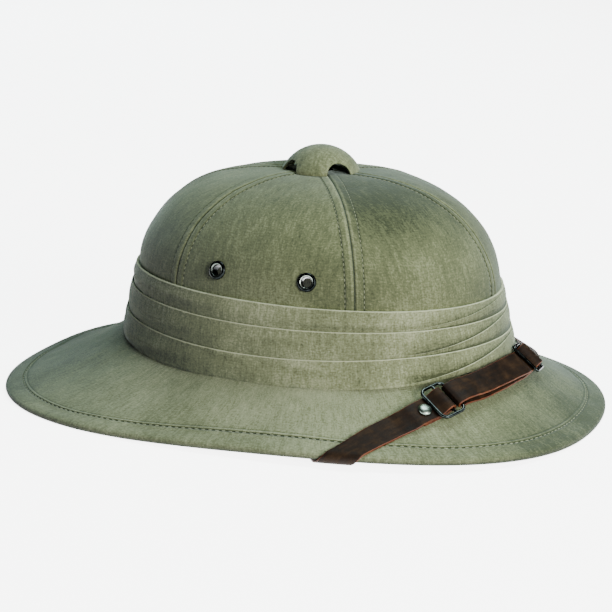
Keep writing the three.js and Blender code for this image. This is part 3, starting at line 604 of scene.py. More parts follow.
def lengths_along(points, axis):
    """Running length along one axis of a grid of points."""
    steps = np.linalg.norm(np.diff(points, axis=axis), axis=-1)
    zero = np.zeros_like(np.take(steps, [0], axis=axis))
    return np.concatenate([zero, np.cumsum(steps, axis=axis)], axis=axis)


def along_line(at, run, points):
    """Points at some lengths along a line whose corners lie at the lengths in run."""
    return np.stack([np.interp(at, run, column) for column in points.T], -1)


def frame_matrix(origin, direction):
    """Places a piece made on the Z axis so that it runs from origin along direction."""
    turn = Vector((0, 0, 1)).rotation_difference(Vector(direction))
    return Matrix.Translation(Vector(origin) * MM) @ turn.to_matrix().to_4x4()


def turned_piece(rings, sides=48, is_loop=False, smooth_angle=40):
    """A round piece drawn up ring by ring from a circle. rings is a list of (radius, height);
    the last one repeats the first where the profile is a loop."""
    clear_selection()
    radius, height = rings[0]
    bpy.ops.mesh.primitive_circle_add(vertices=sides, radius=radius * MM, location=(0, 0, 0))
    piece = bpy.context.object
    bpy.ops.object.mode_set(mode="EDIT")
    bpy.ops.mesh.select_all(action="SELECT")
    bpy.ops.transform.translate(value=(0, 0, height * MM))
    draw_up = bpy.ops.mesh.extrude_edges_move
    if not is_loop:
        bpy.ops.mesh.edge_face_add()
        draw_up = bpy.ops.mesh.extrude_region_move
    for (here, low), (there, high) in zip(rings, rings[1:]):
        draw_up()
        grow = there / here
        bpy.ops.transform.resize(value=(grow, grow, 1), center_override=(0, 0, low * MM))
        bpy.ops.transform.translate(value=(0, 0, (high - low) * MM))
    bpy.ops.mesh.select_all(action="SELECT")
    bpy.ops.mesh.remove_doubles(threshold=1e-7)
    bpy.ops.mesh.normals_make_consistent(inside=False)
    bpy.ops.object.mode_set(mode="OBJECT")
    bpy.ops.object.shade_smooth_by_angle(angle=math.radians(smooth_angle))
    return piece


def add_modifier(piece, kind, **settings):
    take_up(piece)
    made = piece.modifiers.new(kind.lower(), kind)
    for key, value in settings.items():
        setattr(made, key, value)
    bpy.ops.object.modifier_apply(modifier=made.name)


def cut_away(piece, cutters):
    for cutter in cutters:
        add_modifier(piece, "BOOLEAN", operation="DIFFERENCE", object=cutter, solver="EXACT")
        bpy.data.objects.remove(cutter)


def cylinder(radius, length, matrix, sides=40):
    clear_selection()
    bpy.ops.mesh.primitive_cylinder_add(vertices=sides, radius=radius * MM, depth=length * MM)
    made = bpy.context.object
    made.data.transform(matrix)
    return made


# Crown: six panels sewn together.
def seam_columns(level):
    """Turns of the columns at one level, close together beside the six seams, with each
    column's distance from the nearest seam and from the middle of its panel."""
    turns = np.linspace(0, 2 * np.pi, 1441)
    run = lengths_along(crown_point(turns, level), 0)
    found, distance, panel_place = [], [], []
    for index in range(6):
        start, end = np.interp([index * np.pi / 3, (index + 1) * np.pi / 3], turns, run)
        half = (end - start) / 2
        near = SEAM_COLUMNS * min(1, half / 10.5)
        middle = np.linspace(near[-1], half, 9)[1:]
        side = np.concatenate([near, middle])
        run_here = np.concatenate([start + side, (end - side[::-1])[1:-1]])
        found.append(np.interp(run_here, run, turns))
        distance.append(np.minimum(run_here - start, end - run_here))
        panel_place.append(run_here - (start + end) / 2)
    return np.concatenate(found), np.concatenate(distance), np.concatenate(panel_place)


def crown_relief(distance, points):
    """Height of the cloth over the plain crown: a sunk seam, a turned-in strip and a sewn line."""
    seam = -0.45 * hump(distance, 0.4)
    turned_under = 0.34 * smooth(distance / 1.2) * smooth((SEAM_STITCH + 0.2 - distance) / 0.9)
    stitch = -0.2 * hump(distance - SEAM_STITCH, 0.5)
    return seam + turned_under + stitch + ripple(points, CLOTH_WAVES)


def seam_painted_shading(distance):
    """Painted shade in the seam's groove and along the sewn line, and a painted highlight on the
    turned-under strip's raised edge.
    """
    line = -0.8 * hump(distance, 0.32)
    raised_edge_highlight = 0.25 * hump(distance - 1.4, 0.6)
    stitch = -0.6 * hump(distance - SEAM_STITCH, 0.45)
    return line + raised_edge_highlight + stitch


def painted_panel_shade(turn, level):
    """Painted shade: the near front panel, between the seams at -60 and 0 degrees, is painted darker towards
    its top, the panel after it half as much, and the front a little darker at every height.
    """
    degrees = degrees_round(turn)
    own_panel = smooth((degrees + 60) / 3) * smooth(-degrees / 3)
    next_panel = 0.5 * smooth(degrees / 3) * smooth((60 - degrees) / 3)
    towards_top = -0.5 * (own_panel + next_panel) * smooth((level - 1.2) / 0.5)
    return towards_top - 0.15 * smooth((degrees + 30) / 40) * smooth((60 - degrees) / 40)


def dome_levels(spacing):
    fine = np.linspace(1.0, 1 + math.acos(VENT_HOLE_RADIUS / BAND_TOP_HALF[1]) / (math.pi / 2), 400)
    run = lengths_along(crown_point(NEAR_SIDE, fine), 0)
    count = int(run[-1] / spacing)
    return np.interp(np.linspace(0, run[-1], count), run, fine)


def eyelet_matrix(degrees):
    place = (math.radians(degrees), EYELET["level"])
    return frame_matrix(crown_point(*place), crown_normal(*place))


def build_crown():
    levels = np.concatenate([[0.5, 0.9], dome_levels(1.6)])
    columns, uvs, wear_and_painted_shading = [], [], []
    climbs = lengths_along(crown_point(NEAR_SIDE, levels), 0)
    for level, climb in zip(levels, climbs):
        turns, distance, panel_place = seam_columns(level)
        bare = crown_point(turns, level)
        columns.append(crown_offset(turns, level, crown_relief(distance, bare)))
        uvs.append(np.stack([panel_place, np.full_like(turns, climb)], -1))
        # Painted shade along the seams, and painted shade on the near front panel towards its top.
        wear_and_painted_shading.append(seam_painted_shading(distance) + painted_panel_shade(turns, level))
    inner = []
    for level in levels[::4][::-1]:
        inner.append(crown_offset(seam_columns(level)[0], level, -SHELL_WALL))
    turns, _, flat = seam_columns(0.0)
    foot = crown_point(turns, 0.0)
    foot[:, 2] = brim_height(turns, foot_reach(turns), -1, 0)
    rows = [foot, *columns, *inner, inner_foot(turns)]
    heights = [-20.0, *[climbs[-1] - 6.0 * row for row in range(len(inner) + 1)]]
    plain_uvs = [np.stack([flat, np.full_like(flat, height)], -1) for height in heights]
    uvs = [plain_uvs[0], *uvs, *plain_uvs[1:]]
    points = closed(closed(np.stack(rows, 1), 0), 1)
    plain = np.zeros_like(flat)
    wear_and_painted_shading = np.stack([plain, *wear_and_painted_shading, *[plain] * (len(inner) + 1)], 1)
    uv = closed(closed(np.stack(uvs, 1), 0), 1)
    piece = cloth_grid(points, uv, wear_and_painted_shading=closed(closed(wear_and_painted_shading, 0), 1))
    cutters = []
    for degrees in EYELET_TURNS.values():
        cutters.append(cylinder(EYELET["barrel"] + GAP, 14, eyelet_matrix(degrees)))
    for side in (-1, 1):
        origin, inward = stud_frame(side)
        cutters.append(cylinder(STUD["shank"] + GAP, 14, frame_matrix(origin, inward), 24))
    cut_away(piece, cutters)
    return dress(piece, "crown_cover", CROWN_CANVAS, nodes_named("crown"))


# Brim: top and underside covered in one cloth, turned round the edge and hemmed.
def brim_relief(from_rim, points):
    """Height of the cloth over the plain brim, with its hem turned in and sewn down."""
    outer, inner = HEM_LINES
    turned_in = 0.3 * smooth((outer - 0.2 - from_rim) / 0.8) * smooth((from_rim + 1) / 4)
    outer_line = -0.5 * hump(from_rim - outer, 0.42)
    ridge = 0.28 * hump(from_rim - (outer + inner) / 2, 0.62)
    inner_line = -0.2 * hump(from_rim - inner, 0.36)
    calm = smooth(from_rim / 6)
    return turned_in + outer_line + ridge + inner_line + calm * ripple(points, CLOTH_WAVES)


def hem_painted_shade_and_darkening(from_rim):
    """Painted shade in both lines of the hem, with a painted highlight on the ridge between them; the brim
    is also darker over its outer part, towards the rim.
    """
    outer, inner = HEM_LINES
    lines = -1.5 * hump(from_rim - outer, 0.48) - 0.3 * hump(from_rim - inner, 0.4)
    ridge = 0.25 * hump(from_rim - (outer + inner) / 2, 0.5)
    return lines + ridge - OUTER_BRIM_DARKENING * smooth((26 - from_rim) / 20)


def brim_painted_light_and_shade(turn):
    """Painted light and shade: the near side of the brim is painted lighter, and its front and its back
    darker.
    """
    places = [-180, -150, -115, -60, -30, 0, 60, 120, 180]
    light_and_shade = [-0.5, -0.3, 0.22, 0.2, -0.12, -0.4, -0.2, -0.3, -0.5]
    return np.interp(degrees_round(turn), places, light_and_shade)


def build_brim():
    turns = np.linspace(0, 2 * np.pi, 433)[:-1]
    width = brim_width(turns)
    start = foot_reach(turns)
    hem_start = 1 - HEM_ROWS[0] / width
    inner_rows = [lerp(start, hem_start, part) for part in np.linspace(0, 1, 14)]
    reaches = inner_rows + [1 - distance / width for distance in HEM_ROWS[1:]]
    rows, wear_and_painted_shading = [], []
    for reach in reaches:
        bare = brim_face(turns, reach, 1, 0)
        from_rim = (1 - reach) * width
        rows.append(brim_face(turns, reach, 1, brim_relief(from_rim, bare)))
        # Painted shade and a painted highlight at the hem, the brim darker towards the rim, and painted
        # light and shade round the brim.
        wear_and_painted_shading.append(hem_painted_shade_and_darkening(from_rim) + brim_painted_light_and_shade(turns))
    for around in np.linspace(0, np.pi, 15):
        rows.append(rim_edge(turns, around, 0.0))
        # The rim's rolled edge is painted darker towards its underside: painted shade.
        wear_and_painted_shading.append(brim_painted_light_and_shade(turns) - OUTER_BRIM_DARKENING - 0.6 * smooth((around - 1.0) / 1.1))
    for distance in (1.8, 4, 7, 9.2, HEM_LINES[0], 9.8, 14, 20, 28):
        dent = -0.3 if distance == HEM_LINES[0] else 0.0
        rows.append(brim_face(turns, 1 - distance / width, -1, dent))
    for part in np.linspace(1, 0, 10)[1:]:
        rows.append(brim_face(turns, lerp(start, hem_start, part), -1, 0))
    collar = beside_foot(turns, GAP)
    for row, side in ((0, 1), (-1, -1)):
        rows[row] = collar.copy()
        rows[row][:, 2] = brim_height(turns, start, side, 0)
    points = np.stack(rows, 1)
    points[..., 2] = np.maximum(points[..., 2], 0)
    points = closed(points, 0)
    around = lengths_along(rim_point(np.append(turns, 2 * np.pi)), 0)
    across = lengths_along(closed(points, 1)[0:1], 1)[0]
    uv = np.stack(np.meshgrid(around, across, indexing="ij"), -1)
    plain = np.zeros_like(turns)
    wear_and_painted_shading = np.stack([*wear_and_painted_shading, *[plain] * (len(rows) - len(wear_and_painted_shading))], 1)
    piece = cloth_grid(closed(points, 1), uv, 60, closed(closed(wear_and_painted_shading, 0), 1))
    return dress(piece, "brim_cover", BRIM_CANVAS, nodes_named("brim"))


# Band: layers of folded cloth, each lower one lying outside the one above.
CREASE_COLUMNS = ("turn", "height", "half_turn", "rise", "depth", "width")
CREASES = [dict(zip(CREASE_COLUMNS, row)) for row in (
    (-119, 35.6, 13, 1.0, -0.5, 1.9), (-126, 20.4, 13, 3.0, -0.5, 1.7), (-131, 3.4, 17, 7.0, -0.75, 2.2),
    (-96, 12.6, 6, -1.0, -0.45, 1.4), (-75, 10.0, 9, -4.5, -0.4, 1.7), (-34, 18.6, 12, 5.0, -0.4, 1.1),
    (-39, 3.8, 8, -3.0, -0.4, 1.5), (-60, 34.2, 22, -0.8, -0.3, 1.4), (-84, 24.5, 10, 2.2, -0.25, 1.8),
    (-55, 25.5, 9, -2.0, -0.22, 1.5), (-160, 36.0, 12, -2.0, -0.4, 1.7), (-166, 8.5, 10, 3.0, -0.5, 1.9),
    (172, 22.5, 14, 2.5, -0.45, 1.8), (150, 5.5, 12, -4.0, -0.55, 2.0), (138, 35.5, 12, 1.5, -0.4, 1.8),
    (118, 20.0, 15, -2.5, -0.45, 1.6), (95, 9.0, 12, 4.0, -0.5, 1.9), (78, 34.8, 13, -1.5, -0.35, 1.6),
    (60, 21.0, 12, 3.0, -0.4, 1.5), (42, 6.0, 10, -3.5, -0.45, 1.8),
)]


def crease_relief(turn, height):
    degrees = degrees_round(turn)
    total = np.zeros(np.broadcast(turn, height).shape)
    for crease in CREASES:
        along = (degrees - crease["turn"] + 180) % 360 - 180
        part = along / crease["half_turn"]
        line = crease["height"] + crease["rise"] * part / 2
        across = (height - line) / crease["width"]
        total += crease["depth"] * np.exp(-part ** 2 * 1.4) * (
            hump(across, 1) - 0.55 * hump(across - 1.7, 1)
        )
    return total


# Where the folds cross at the front, each one slants up to the fold above it.
def crossing_part(turn):
    return (degrees_round(turn) - CROSSING["from"]) / (CROSSING["to"] - CROSSING["from"])


def crossing_fold(turn, near, far):
    return lerp(near, far, smooth(crossing_part(turn)))


def crossing_step(turn, step):
    part = np.clip(crossing_part(turn), 0, 1)
    return step * np.sqrt(np.clip(np.sin(np.pi * part), 0, None))


def layer_fullness(height):
    total = np.zeros_like(height)
    for low, high in ((0, LOWER_FOLD), (LOWER_FOLD, UPPER_FOLD), (UPPER_FOLD, BAND_HEIGHT)):
        part = np.clip((height - low) / (high - low), 0, 1)
        total += LAYER_FULLNESS * np.sin(np.pi * part ** 0.85)
    return total


def foot_flare(turn, height):
    """The band's lower edge stands out beside the ring and is drawn in at the near side."""
    degrees = degrees_round(turn)
    low = np.clip(1 - height / 13, 0, 1) ** 2
    return low * (3.0 * hump(degrees + 50, 12) - 1.5 * hump(degrees + 97, 14))


def band_rows(turns):
    """Heights, thicknesses and painted shading of the band's outside, from its foot to its top."""
    crossing = crossing_step(turns, CROSSING["step"])
    faint = crossing_step(turns, CROSSING["faint"])
    same = np.ones_like(turns)
    folds = [
        (crossing_fold(turns, 1.2, LOWER_FOLD - 1.2), crossing),
        (LOWER_FOLD * same, FOLD_STEP * same),
        (crossing_fold(turns, LOWER_FOLD + 1.2, UPPER_FOLD - 1.2), crossing),
        (UPPER_FOLD * same, FOLD_STEP * same),
        (crossing_fold(turns, UPPER_FOLD + 1.2, BAND_HEIGHT - 1.2), faint),
    ]
    out = CLOTH_INNER_LAYER + 2 * FOLD_STEP + 2 * crossing + faint
    # The lowest rows are painted dark: painted shade along the band's foot, where it sits on the brim.
    rows = [
        (0.1 * same, out - 0.6, -1.6 * same),
        (0.6 * same, out - 0.2, -1.5 * same),
        (1.0 * same, out, 0.2 * same),
    ]
    low = 0 * same
    shadow_above = 0 * same
    for height, step in folds + [(BAND_HEIGHT * same, None)]:
        room = height - low
        for part in np.linspace(0, 1, 9)[1:-1]:
            rows.append((low + (room - 1.5) * part + 0.1, out, shadow_above * (1 - part) ** 3))
        size = same if step is None else step / FOLD_STEP
        for up, back, wear_and_painted_shading in FOLD_EDGE[:4] if step is None else FOLD_EDGE:
            rows.append((height + up * size, out - back * size, wear_and_painted_shading * np.minimum(size, 1)))
        shadow_above = SHADOW_OVER_FOLD * np.minimum(size, 1)
        if step is not None:
            out = out - step
        low = height
    return rows


def band_painted_shade(turn, height):
    """Painted shade: the band is painted darker at the near back, most of all in its lowest fold."""
    places = [-180, -150, -125, -95, 180]
    shade_amount = np.interp(degrees_round(turn), places, [-0.2, -0.32, -0.3, 0, -0.2])
    return shade_amount * (1.2 - height / BAND_HEIGHT)


def build_band():
    turns = np.linspace(0, 2 * np.pi, 481)[:-1]
    outside, band_shading_rows = [], []
    for height, out, wear_and_painted_shading in band_rows(turns):
        creased = crease_relief(turns, height)
        full = layer_fullness(height) + creased + foot_flare(turns, height)
        level = np.clip(height / BAND_HEIGHT, 0, 1)
        bare = crown_point(turns, level)
        full = full + 0.7 * ripple(bare, CLOTH_WAVES)
        thickness = np.maximum(out + full, 0.6)
        placed = crown_offset(turns, level, GAP + thickness)
        placed[:, 2] += height - level * BAND_HEIGHT
        seat = foot_reach(turns) + (GAP + thickness) / brim_width(turns)
        placed[:, 2] = np.maximum(placed[:, 2], brim_height(turns, seat, 1, BAND_LIFT))
        outside.append(placed)
        # The cloth is painted darker in its creases and a little lighter beside them: painted shade and
        # painted highlight.
        band_shading_rows.append(wear_and_painted_shading + 0.5 * creased + band_painted_shade(turns, height))
    inside = []
    for height in (BAND_HEIGHT - 0.1, UPPER_FOLD, LOWER_FOLD):
        inside.append(crown_offset(turns, height / BAND_HEIGHT, GAP))
    foot = beside_foot(turns, GAP)
    foot[:, 2] = brim_height(turns, foot_reach(turns) + GAP / brim_width(turns), 1, BAND_LIFT)
    points = closed(np.stack([*outside, *inside, foot], 1), 0)
    around = lengths_along(crown_point(np.append(turns, 2 * np.pi), 0.5), 0)
    points = closed(points, 1)
    across = lengths_along(points, 1)
    uv = np.stack([np.broadcast_to(around[:, None], across.shape), across], -1)
    plain = np.zeros_like(turns)
    unpainted = [plain] * (len(inside) + 1)
    wear_and_painted_shading = closed(closed(np.stack([*band_shading_rows, *unpainted], 1), 0), 1)
    piece = cloth_grid(points, uv, 70, wear_and_painted_shading)
    return dress(piece, "folded_band", BAND_CANVAS, ["puggaree"])


# Strap route: the brim unfolded flat, as seen from above.
class Route:
    """A smooth line through the strap's turning points, measured along its length."""

    def __init__(self, points):
        dense = []
        padded = [2 * np.array(points[0]) - points[1], *map(np.array, points),
                  2 * np.array(points[-1]) - points[-2]]
        for a, b, c, d in zip(padded, padded[1:], padded[2:], padded[3:]):
            knots = np.cumsum([0] + [max(np.linalg.norm(q - p), 1e-6) ** 0.5
                                     for p, q in ((a, b), (b, c), (c, d))])
            for at in np.linspace(knots[1], knots[2], 41)[:-1]:
                dense.append(self.blend_point(knots, (a, b, c, d), at))
        dense.append(padded[-2])
        self.points = np.array(dense)
        self.run = lengths_along(self.points, 0)
        self.length = self.run[-1]

    @staticmethod
    def blend_point(knots, corners, at):
        level = list(corners)
        for depth in (1, 2, 3):
            spans = []
            for i in range(4 - depth):
                low = knots[i] if depth < 3 else knots[1]
                high = knots[i + depth] if depth < 3 else knots[2]
                if depth == 2:
                    low, high = knots[i], knots[i + 2]
                part = (at - low) / (high - low)
                spans.append(level[i] * (1 - part) + level[i + 1] * part)
            level = spans
        return level[0]

    def place(self, at):
        at = np.asarray(at, float)
        inside = np.clip(at, 0, self.length)
        here = along_line(inside, self.run, self.points)
        before = np.clip(inside - 0.5, 0, self.length - 1)
        ends = [along_line(end, self.run, self.points) for end in (before, before + 1)]
        along = unit(ends[1] - ends[0])
        here = here + along * (at - inside)[..., None]
        across = np.stack([along[..., 1], -along[..., 0]], -1)
        return here, along, across

    def at_y(self, y):
        return float(np.interp(y, self.points[:, 1], self.run))


STRAP_ROUTE = Route(ROUTE)
ROUTE_LENGTH = STRAP_ROUTE.length
RING_AT = STRAP_ROUTE.at_y(ROUTE_RING_Y)
SLIDE_AT = STRAP_ROUTE.at_y(ROUTE_SLIDE_Y)


def brim_place(x, y):
    """The brim's own turn and reach of a point seen from above."""
    turn = np.arctan2(y / RIM_HALF[1], (x - RIM_X) / RIM_HALF[0])
    reach = np.full_like(turn, 0.5)
    step = 1e-4
    for _ in range(12):
        here = brim_middle(turn, reach)
        by_turn = (brim_middle(turn + step, reach) - here) / step
        by_reach = (brim_middle(turn, reach + step) - here) / step
        det = by_turn[..., 0] * by_reach[..., 1] - by_turn[..., 1] * by_reach[..., 0]
        dx = x - here[..., 0]
        dy = y - here[..., 1]
        turn = turn + (dx * by_reach[..., 1] - dy * by_reach[..., 0]) / det
        reach = reach + (by_turn[..., 0] * dy - by_turn[..., 1] * dx) / det
    return turn, reach


def wrap_frame(side):
    end = np.array(ROUTE[0 if side < 0 else -1])
    turn, _ = brim_place(end[0:1], end[1:2])
    along = (rim_point(turn + 1e-3) - rim_point(turn - 1e-3))[0, :2]
    along = along / np.linalg.norm(along)
    return {
        "turn": turn[0],
        "origin": rim_point(turn)[0, :2],
        "along": along,
        "inward": np.array([-along[1], along[0]]),
    }


WRAPS = {-1: wrap_frame(-1), 1: wrap_frame(1)}


def inner_wall_point(turn, past, height):
    """Round the crown's lower inner edge and up its inner wall."""
    corner = inner_foot(turn)
    down = -brim_normal(turn, inner_reach(turn))
    inward = -crown_normal(turn, 0.0)
    bend = np.arccos(np.clip(np.sum(down * inward, -1), -1, 1))
    bend_length = bend * (STRAP_LIFT + 0.6)
    part = np.clip(past / bend_length, 0, 1)
    way = unit(
        down * np.sin((1 - part) * bend)[..., None] + inward * np.sin(part * bend)[..., None]
    )
    turning = corner + way * (height + CORNER_EASE * np.sin(part * np.pi))[..., None]
    climbed = past - bend_length
    foot = beside_foot(turn, -SHELL_WALL)
    rise = climbed + corner[..., 2] - foot[..., 2]
    wall = crown_offset(turn, np.maximum(rise, 0) / BAND_HEIGHT, -SHELL_WALL - height)
    wall[..., 2] = np.where(rise < 0, corner[..., 2] + climbed, wall[..., 2])
    return np.where((past < bend_length)[..., None], turning, wall)


def strap_point(x, y, height):
    """Maps a point of the unfolded brim, at a height above the cloth, to its place on the hat."""
    x, y, height = (np.array(v, float) for v in np.broadcast_arrays(x, y, height))
    result = np.zeros((*x.shape, 3))
    for side, wrap in WRAPS.items():
        mine = (y < 0) if side < 0 else (y >= 0)
        if not mine.any():
            continue
        px, py, ph = x[mine], y[mine], height[mine]
        target = (px - wrap["origin"][0]) * wrap["along"][0] + (py - wrap["origin"][1]) * wrap["along"][1]
        turn = np.full_like(px, wrap["turn"])
        for _ in range(8):
            here = (rim_point(turn)[..., :2] - wrap["origin"]) @ wrap["along"]
            slope = (rim_point(turn + 1e-3) - rim_point(turn))[..., :2] @ wrap["along"] / 1e-3
            turn = turn + (target - here) / slope
        rim = rim_point(turn)[..., :2]
        beyond = -((px - rim[..., 0]) * wrap["inward"][0] + (py - rim[..., 1]) * wrap["inward"][1])
        on_top = (np.abs(py) < 60) | (beyond <= 0)
        turn_length = np.pi * (RIM_RADIUS + STRAP_LIFT)
        edge = ~on_top & (beyond < turn_length)
        back = np.maximum(beyond - turn_length, 0)
        under_x = rim[..., 0] + back * wrap["inward"][0]
        under_y = rim[..., 1] + back * wrap["inward"][1]
        length = FOOT_HALF[0] - SHELL_WALL
        width = FOOT_HALF[1] - SHELL_WALL
        wall_turn = np.arctan2(under_y / width, (under_x - CROWN_X) / length)
        wall_distance = np.hypot(length * np.cos(wall_turn), width * np.sin(wall_turn))
        past = wall_distance - np.hypot(under_x - CROWN_X, under_y)
        inside = ~on_top & ~edge & (past > 0)
        below = ~on_top & ~edge & ~inside
        placed = np.zeros((*px.shape, 3))
        if on_top.any():
            place = brim_place(px[on_top], py[on_top])
            placed[on_top] = brim_face(place[0], np.minimum(place[1], 1), 1, ph[on_top])
        if edge.any():
            placed[edge] = rim_edge(turn[edge], beyond[edge] / turn_length * np.pi, ph[edge])
        if inside.any():
            placed[inside] = inner_wall_point(wall_turn[inside], past[inside], ph[inside])
        if below.any():
            place = brim_place(under_x[below], under_y[below])
            placed[below] = brim_face(place[0], np.minimum(place[1], 1), -1, ph[below])
        result[mine] = placed
    return result


def fitting_axes(at):
    """Origin and axes of a flat fitting on the strap: along it, across it and away from the cloth."""
    here, _, across = STRAP_ROUTE.place(at)
    half = STRAP_WIDTH / 2
    origin = strap_point(here[0], here[1], FITTING_LIFT)
    ahead = STRAP_ROUTE.place(at + half)[0]
    behind = STRAP_ROUTE.place(at - half)[0]
    along = unit(strap_point(*ahead, 0.0) - strap_point(*behind, 0.0))
    right = strap_point(*(here + across * half), 0.0)
    left = strap_point(*(here - across * half), 0.0)
    up = unit(np.cross(right - left, along))
    return {"origin": origin, "along": along, "across": unit(np.cross(up, along)), "up": up}


FITTINGS = [
    {"at": RING_AT, "before": 21.0, "after": 12.0, "axes": fitting_axes(RING_AT)},
    {"at": SLIDE_AT, "before": 11.0, "after": 11.0, "axes": fitting_axes(SLIDE_AT)},
]


def fitting_point(axes, along, across, up):
    return (
        axes["origin"]
        + np.asarray(along)[..., None] * axes["along"]
        + np.asarray(across)[..., None] * axes["across"]
        + np.asarray(up)[..., None] * axes["up"]
    )


def strap_place(at, out, height):
    here, _, across = STRAP_ROUTE.place(at)
    seen = out * (1 - SLOPE_NARROWING * np.sin(np.pi * np.clip(at / ROUTE_LENGTH, 0, 1)))
    placed = strap_point(
        here[..., 0] + across[..., 0] * seen, here[..., 1] + across[..., 1] * seen, height
    )
    # Near the ring and the slide the leather lies flat, as they do.
    for fitting in FITTINGS:
        along = at - fitting["at"]
        beyond = np.maximum(np.maximum(-along - fitting["before"], along - fitting["after"]), 0)
        flatness = smooth(1 - beyond / FLAT_BLEND)[..., None]
        placed = lerp(placed, fitting_point(fitting["axes"], along, -out, height), flatness)
    return placed


def rim_slant(side):
    _, along, across = STRAP_ROUTE.place(0.0 if side < 0 else ROUTE_LENGTH)
    inward = WRAPS[side]["inward"]
    return -(across @ inward) / (along @ inward)


SLANTS = {-1: rim_slant(-1), 1: rim_slant(1)}


def across_slant(at):
    inward = np.minimum(at, ROUTE_LENGTH - at)
    slant = smooth(1 - (inward - SLANT_START) / SLANT_BLEND)
    return slant * np.where(at < ROUTE_LENGTH / 2, SLANTS[-1], SLANTS[1])


def arc_path(at, height, radius, start, end, steps):
    turns = np.radians(np.linspace(start, end, steps + 1))
    return [(at + radius * math.cos(turn), height + radius * math.sin(turn)) for turn in turns]


def flat_path(start, end, spacing):
    count = max(1, round(abs(end - start) / spacing))
    return [(at, STRAP_LIFT) for at in np.linspace(start, end, count + 1)]


BAR_LOOP = BAR_RADIUS + STRAP_GAP + STRAP_THICKNESS / 2
WIRE_LOOP = WIRE_RADIUS + STRAP_GAP + STRAP_THICKNESS / 2


def short_strap_path():
    bar = RING_AT + RING_BAR_OFFSET
    folded = [(-19, 1), (-14, 1), (-9, 1), (-4.5, 1.7)]
    over = [(-7.4, UPPER_LIFT), (-12.5, UPPER_LIFT), (-17, UPPER_LIFT), (-20.5, 2.5), (-25, 1.5)]
    return [
        *[(RING_AT + along, height) for along, height in folded],
        *arc_path(bar, RING_HEIGHT, BAR_LOOP, -90, 120, 6),
        *[(RING_AT + along, height) for along, height in over],
        *flat_path(RING_AT - 30, -HIDDEN_LENGTH, 9),
    ]


def long_strap_path():
    ring_bar = RING_AT + RING_HALF["along"]
    near_bar = SLIDE_AT - SLIDE_HALF["along"]
    far_bar = SLIDE_AT + SLIDE_HALF["along"]
    hump = SLIDE_HALF["along"] - WIRE_LOOP
    lower = [(0.25, 1.2), (0.5, 1.4), (0.75, 1.7)]
    upper = [(0.3, 7.4), (0.5, 7.4), (0.7, 6.7)]
    return [
        *arc_path(SLIDE_AT, SLIDE_HEIGHT, BAR_LOOP, 165, -90, 7),
        (SLIDE_AT - 4, 1.8),
        (near_bar, STRAP_LIFT),
        *[(lerp(near_bar, ring_bar, part), height) for part, height in lower],
        (ring_bar + 6, 2.3),
        *arc_path(ring_bar, RING_HEIGHT, WIRE_LOOP, -90, -270, 6),
        (ring_bar + 8, 7.2),
        *[(lerp(ring_bar, near_bar, part), height) for part, height in upper],
        (near_bar - 8, 4.8),
        *arc_path(near_bar, SLIDE_HEIGHT, WIRE_LOOP, -90, -15, 3),
        *arc_path(SLIDE_AT, SLIDE_HEIGHT, hump, 170, 10, 7),
        *arc_path(far_bar, SLIDE_HEIGHT, WIRE_LOOP, 195, 270, 3),
        (far_bar + 7, 1.7),
        *flat_path(far_bar + 14, ROUTE_LENGTH + HIDDEN_LENGTH, 10),
    ]


def even_path(path, spacing):
    """The same path with evenly spaced stations, rounded through its corners."""
    corners = np.array(path, float)
    steps = np.linalg.norm(np.diff(corners, axis=0), axis=1)
    corners = corners[np.concatenate([[True], steps > 1e-6])]
    run = lengths_along(corners, 0)
    tangents = np.gradient(corners, run, axis=0)
    count = int(run[-1] / spacing)
    places = np.linspace(0, run[-1], count)
    index = np.clip(np.searchsorted(run, places, side="right") - 1, 0, len(run) - 2)
    span = run[index + 1] - run[index]
    part = (places - run[index]) / span
    part, span = part[:, None], span[:, None]
    start, end = corners[index], corners[index + 1]
    leave, arrive = tangents[index] * span, tangents[index + 1] * span
    return (
        (2 * part ** 3 - 3 * part ** 2 + 1) * start
        + (part ** 3 - 2 * part ** 2 + part) * leave
        + (-2 * part ** 3 + 3 * part ** 2) * end
        + (part ** 3 - part ** 2) * arrive
    )


def strap_section():
    """Points round the strap's section: distance across it and height."""
    half = STRAP_WIDTH / 2
    thick = STRAP_THICKNESS / 2
    corner = 0.42
    top = [(x, thick) for x in np.linspace(-half + corner, half - corner, 9)]
    right = [(half - corner * (1 - math.sin(a)), thick - corner * (1 - math.cos(a)))
             for a in (math.pi / 6, math.pi / 3, math.pi / 2)]
    right += [(x, -y) for x, y in reversed(right)]
    bottom = [(x, -y) for x, y in reversed(top)]
    left = [(-x, y) for x, y in reversed(right)]
    return np.array(top + right + bottom + left)


def build_ribbon(path):
    """The leather along a path, its faces and edges a little uneven, as cut by hand."""
    stations = even_path(path, 1.3)
    heading = np.gradient(stations, axis=0)
    lean = np.arctan2(heading[:, 1], heading[:, 0])
    section = strap_section()
    out = section[:, 0][None, :]
    up = section[:, 1][None, :]
    start = stations[:, :1]
    face = up + 0.06 * np.sin(start * 0.9) * np.sign(up)
    at = start - np.sin(lean)[:, None] * face
    height = stations[:, 1:2] + np.cos(lean)[:, None] * face
    out = out * (1 + 0.006 * np.sin(start * 0.35) + 0.004 * np.sin(start * 1.1))
    at, out, height = np.broadcast_arrays(at, out, height)
    points = strap_place(at + out * across_slant(at), out, height)
    run = lengths_along(points, 0)
    around = np.broadcast_to(section[:, 0][None, :], run.shape)
    uv = closed(np.stack([around, run], -1), 1)
    return cloth_grid(closed(points, 1), uv, 35)


def mark_cut_edges(piece, edge_start):
    """Gives the cut edges their own finish: the faces that lie this far across the strap's map."""
    mesh = piece.data
    layer = mesh.uv_layers.active.data
    for face in mesh.polygons:
        across = [abs(layer[i].uv.x) for i in face.loop_indices]
        if min(across) > edge_start * MM:
            face.material_index = 1


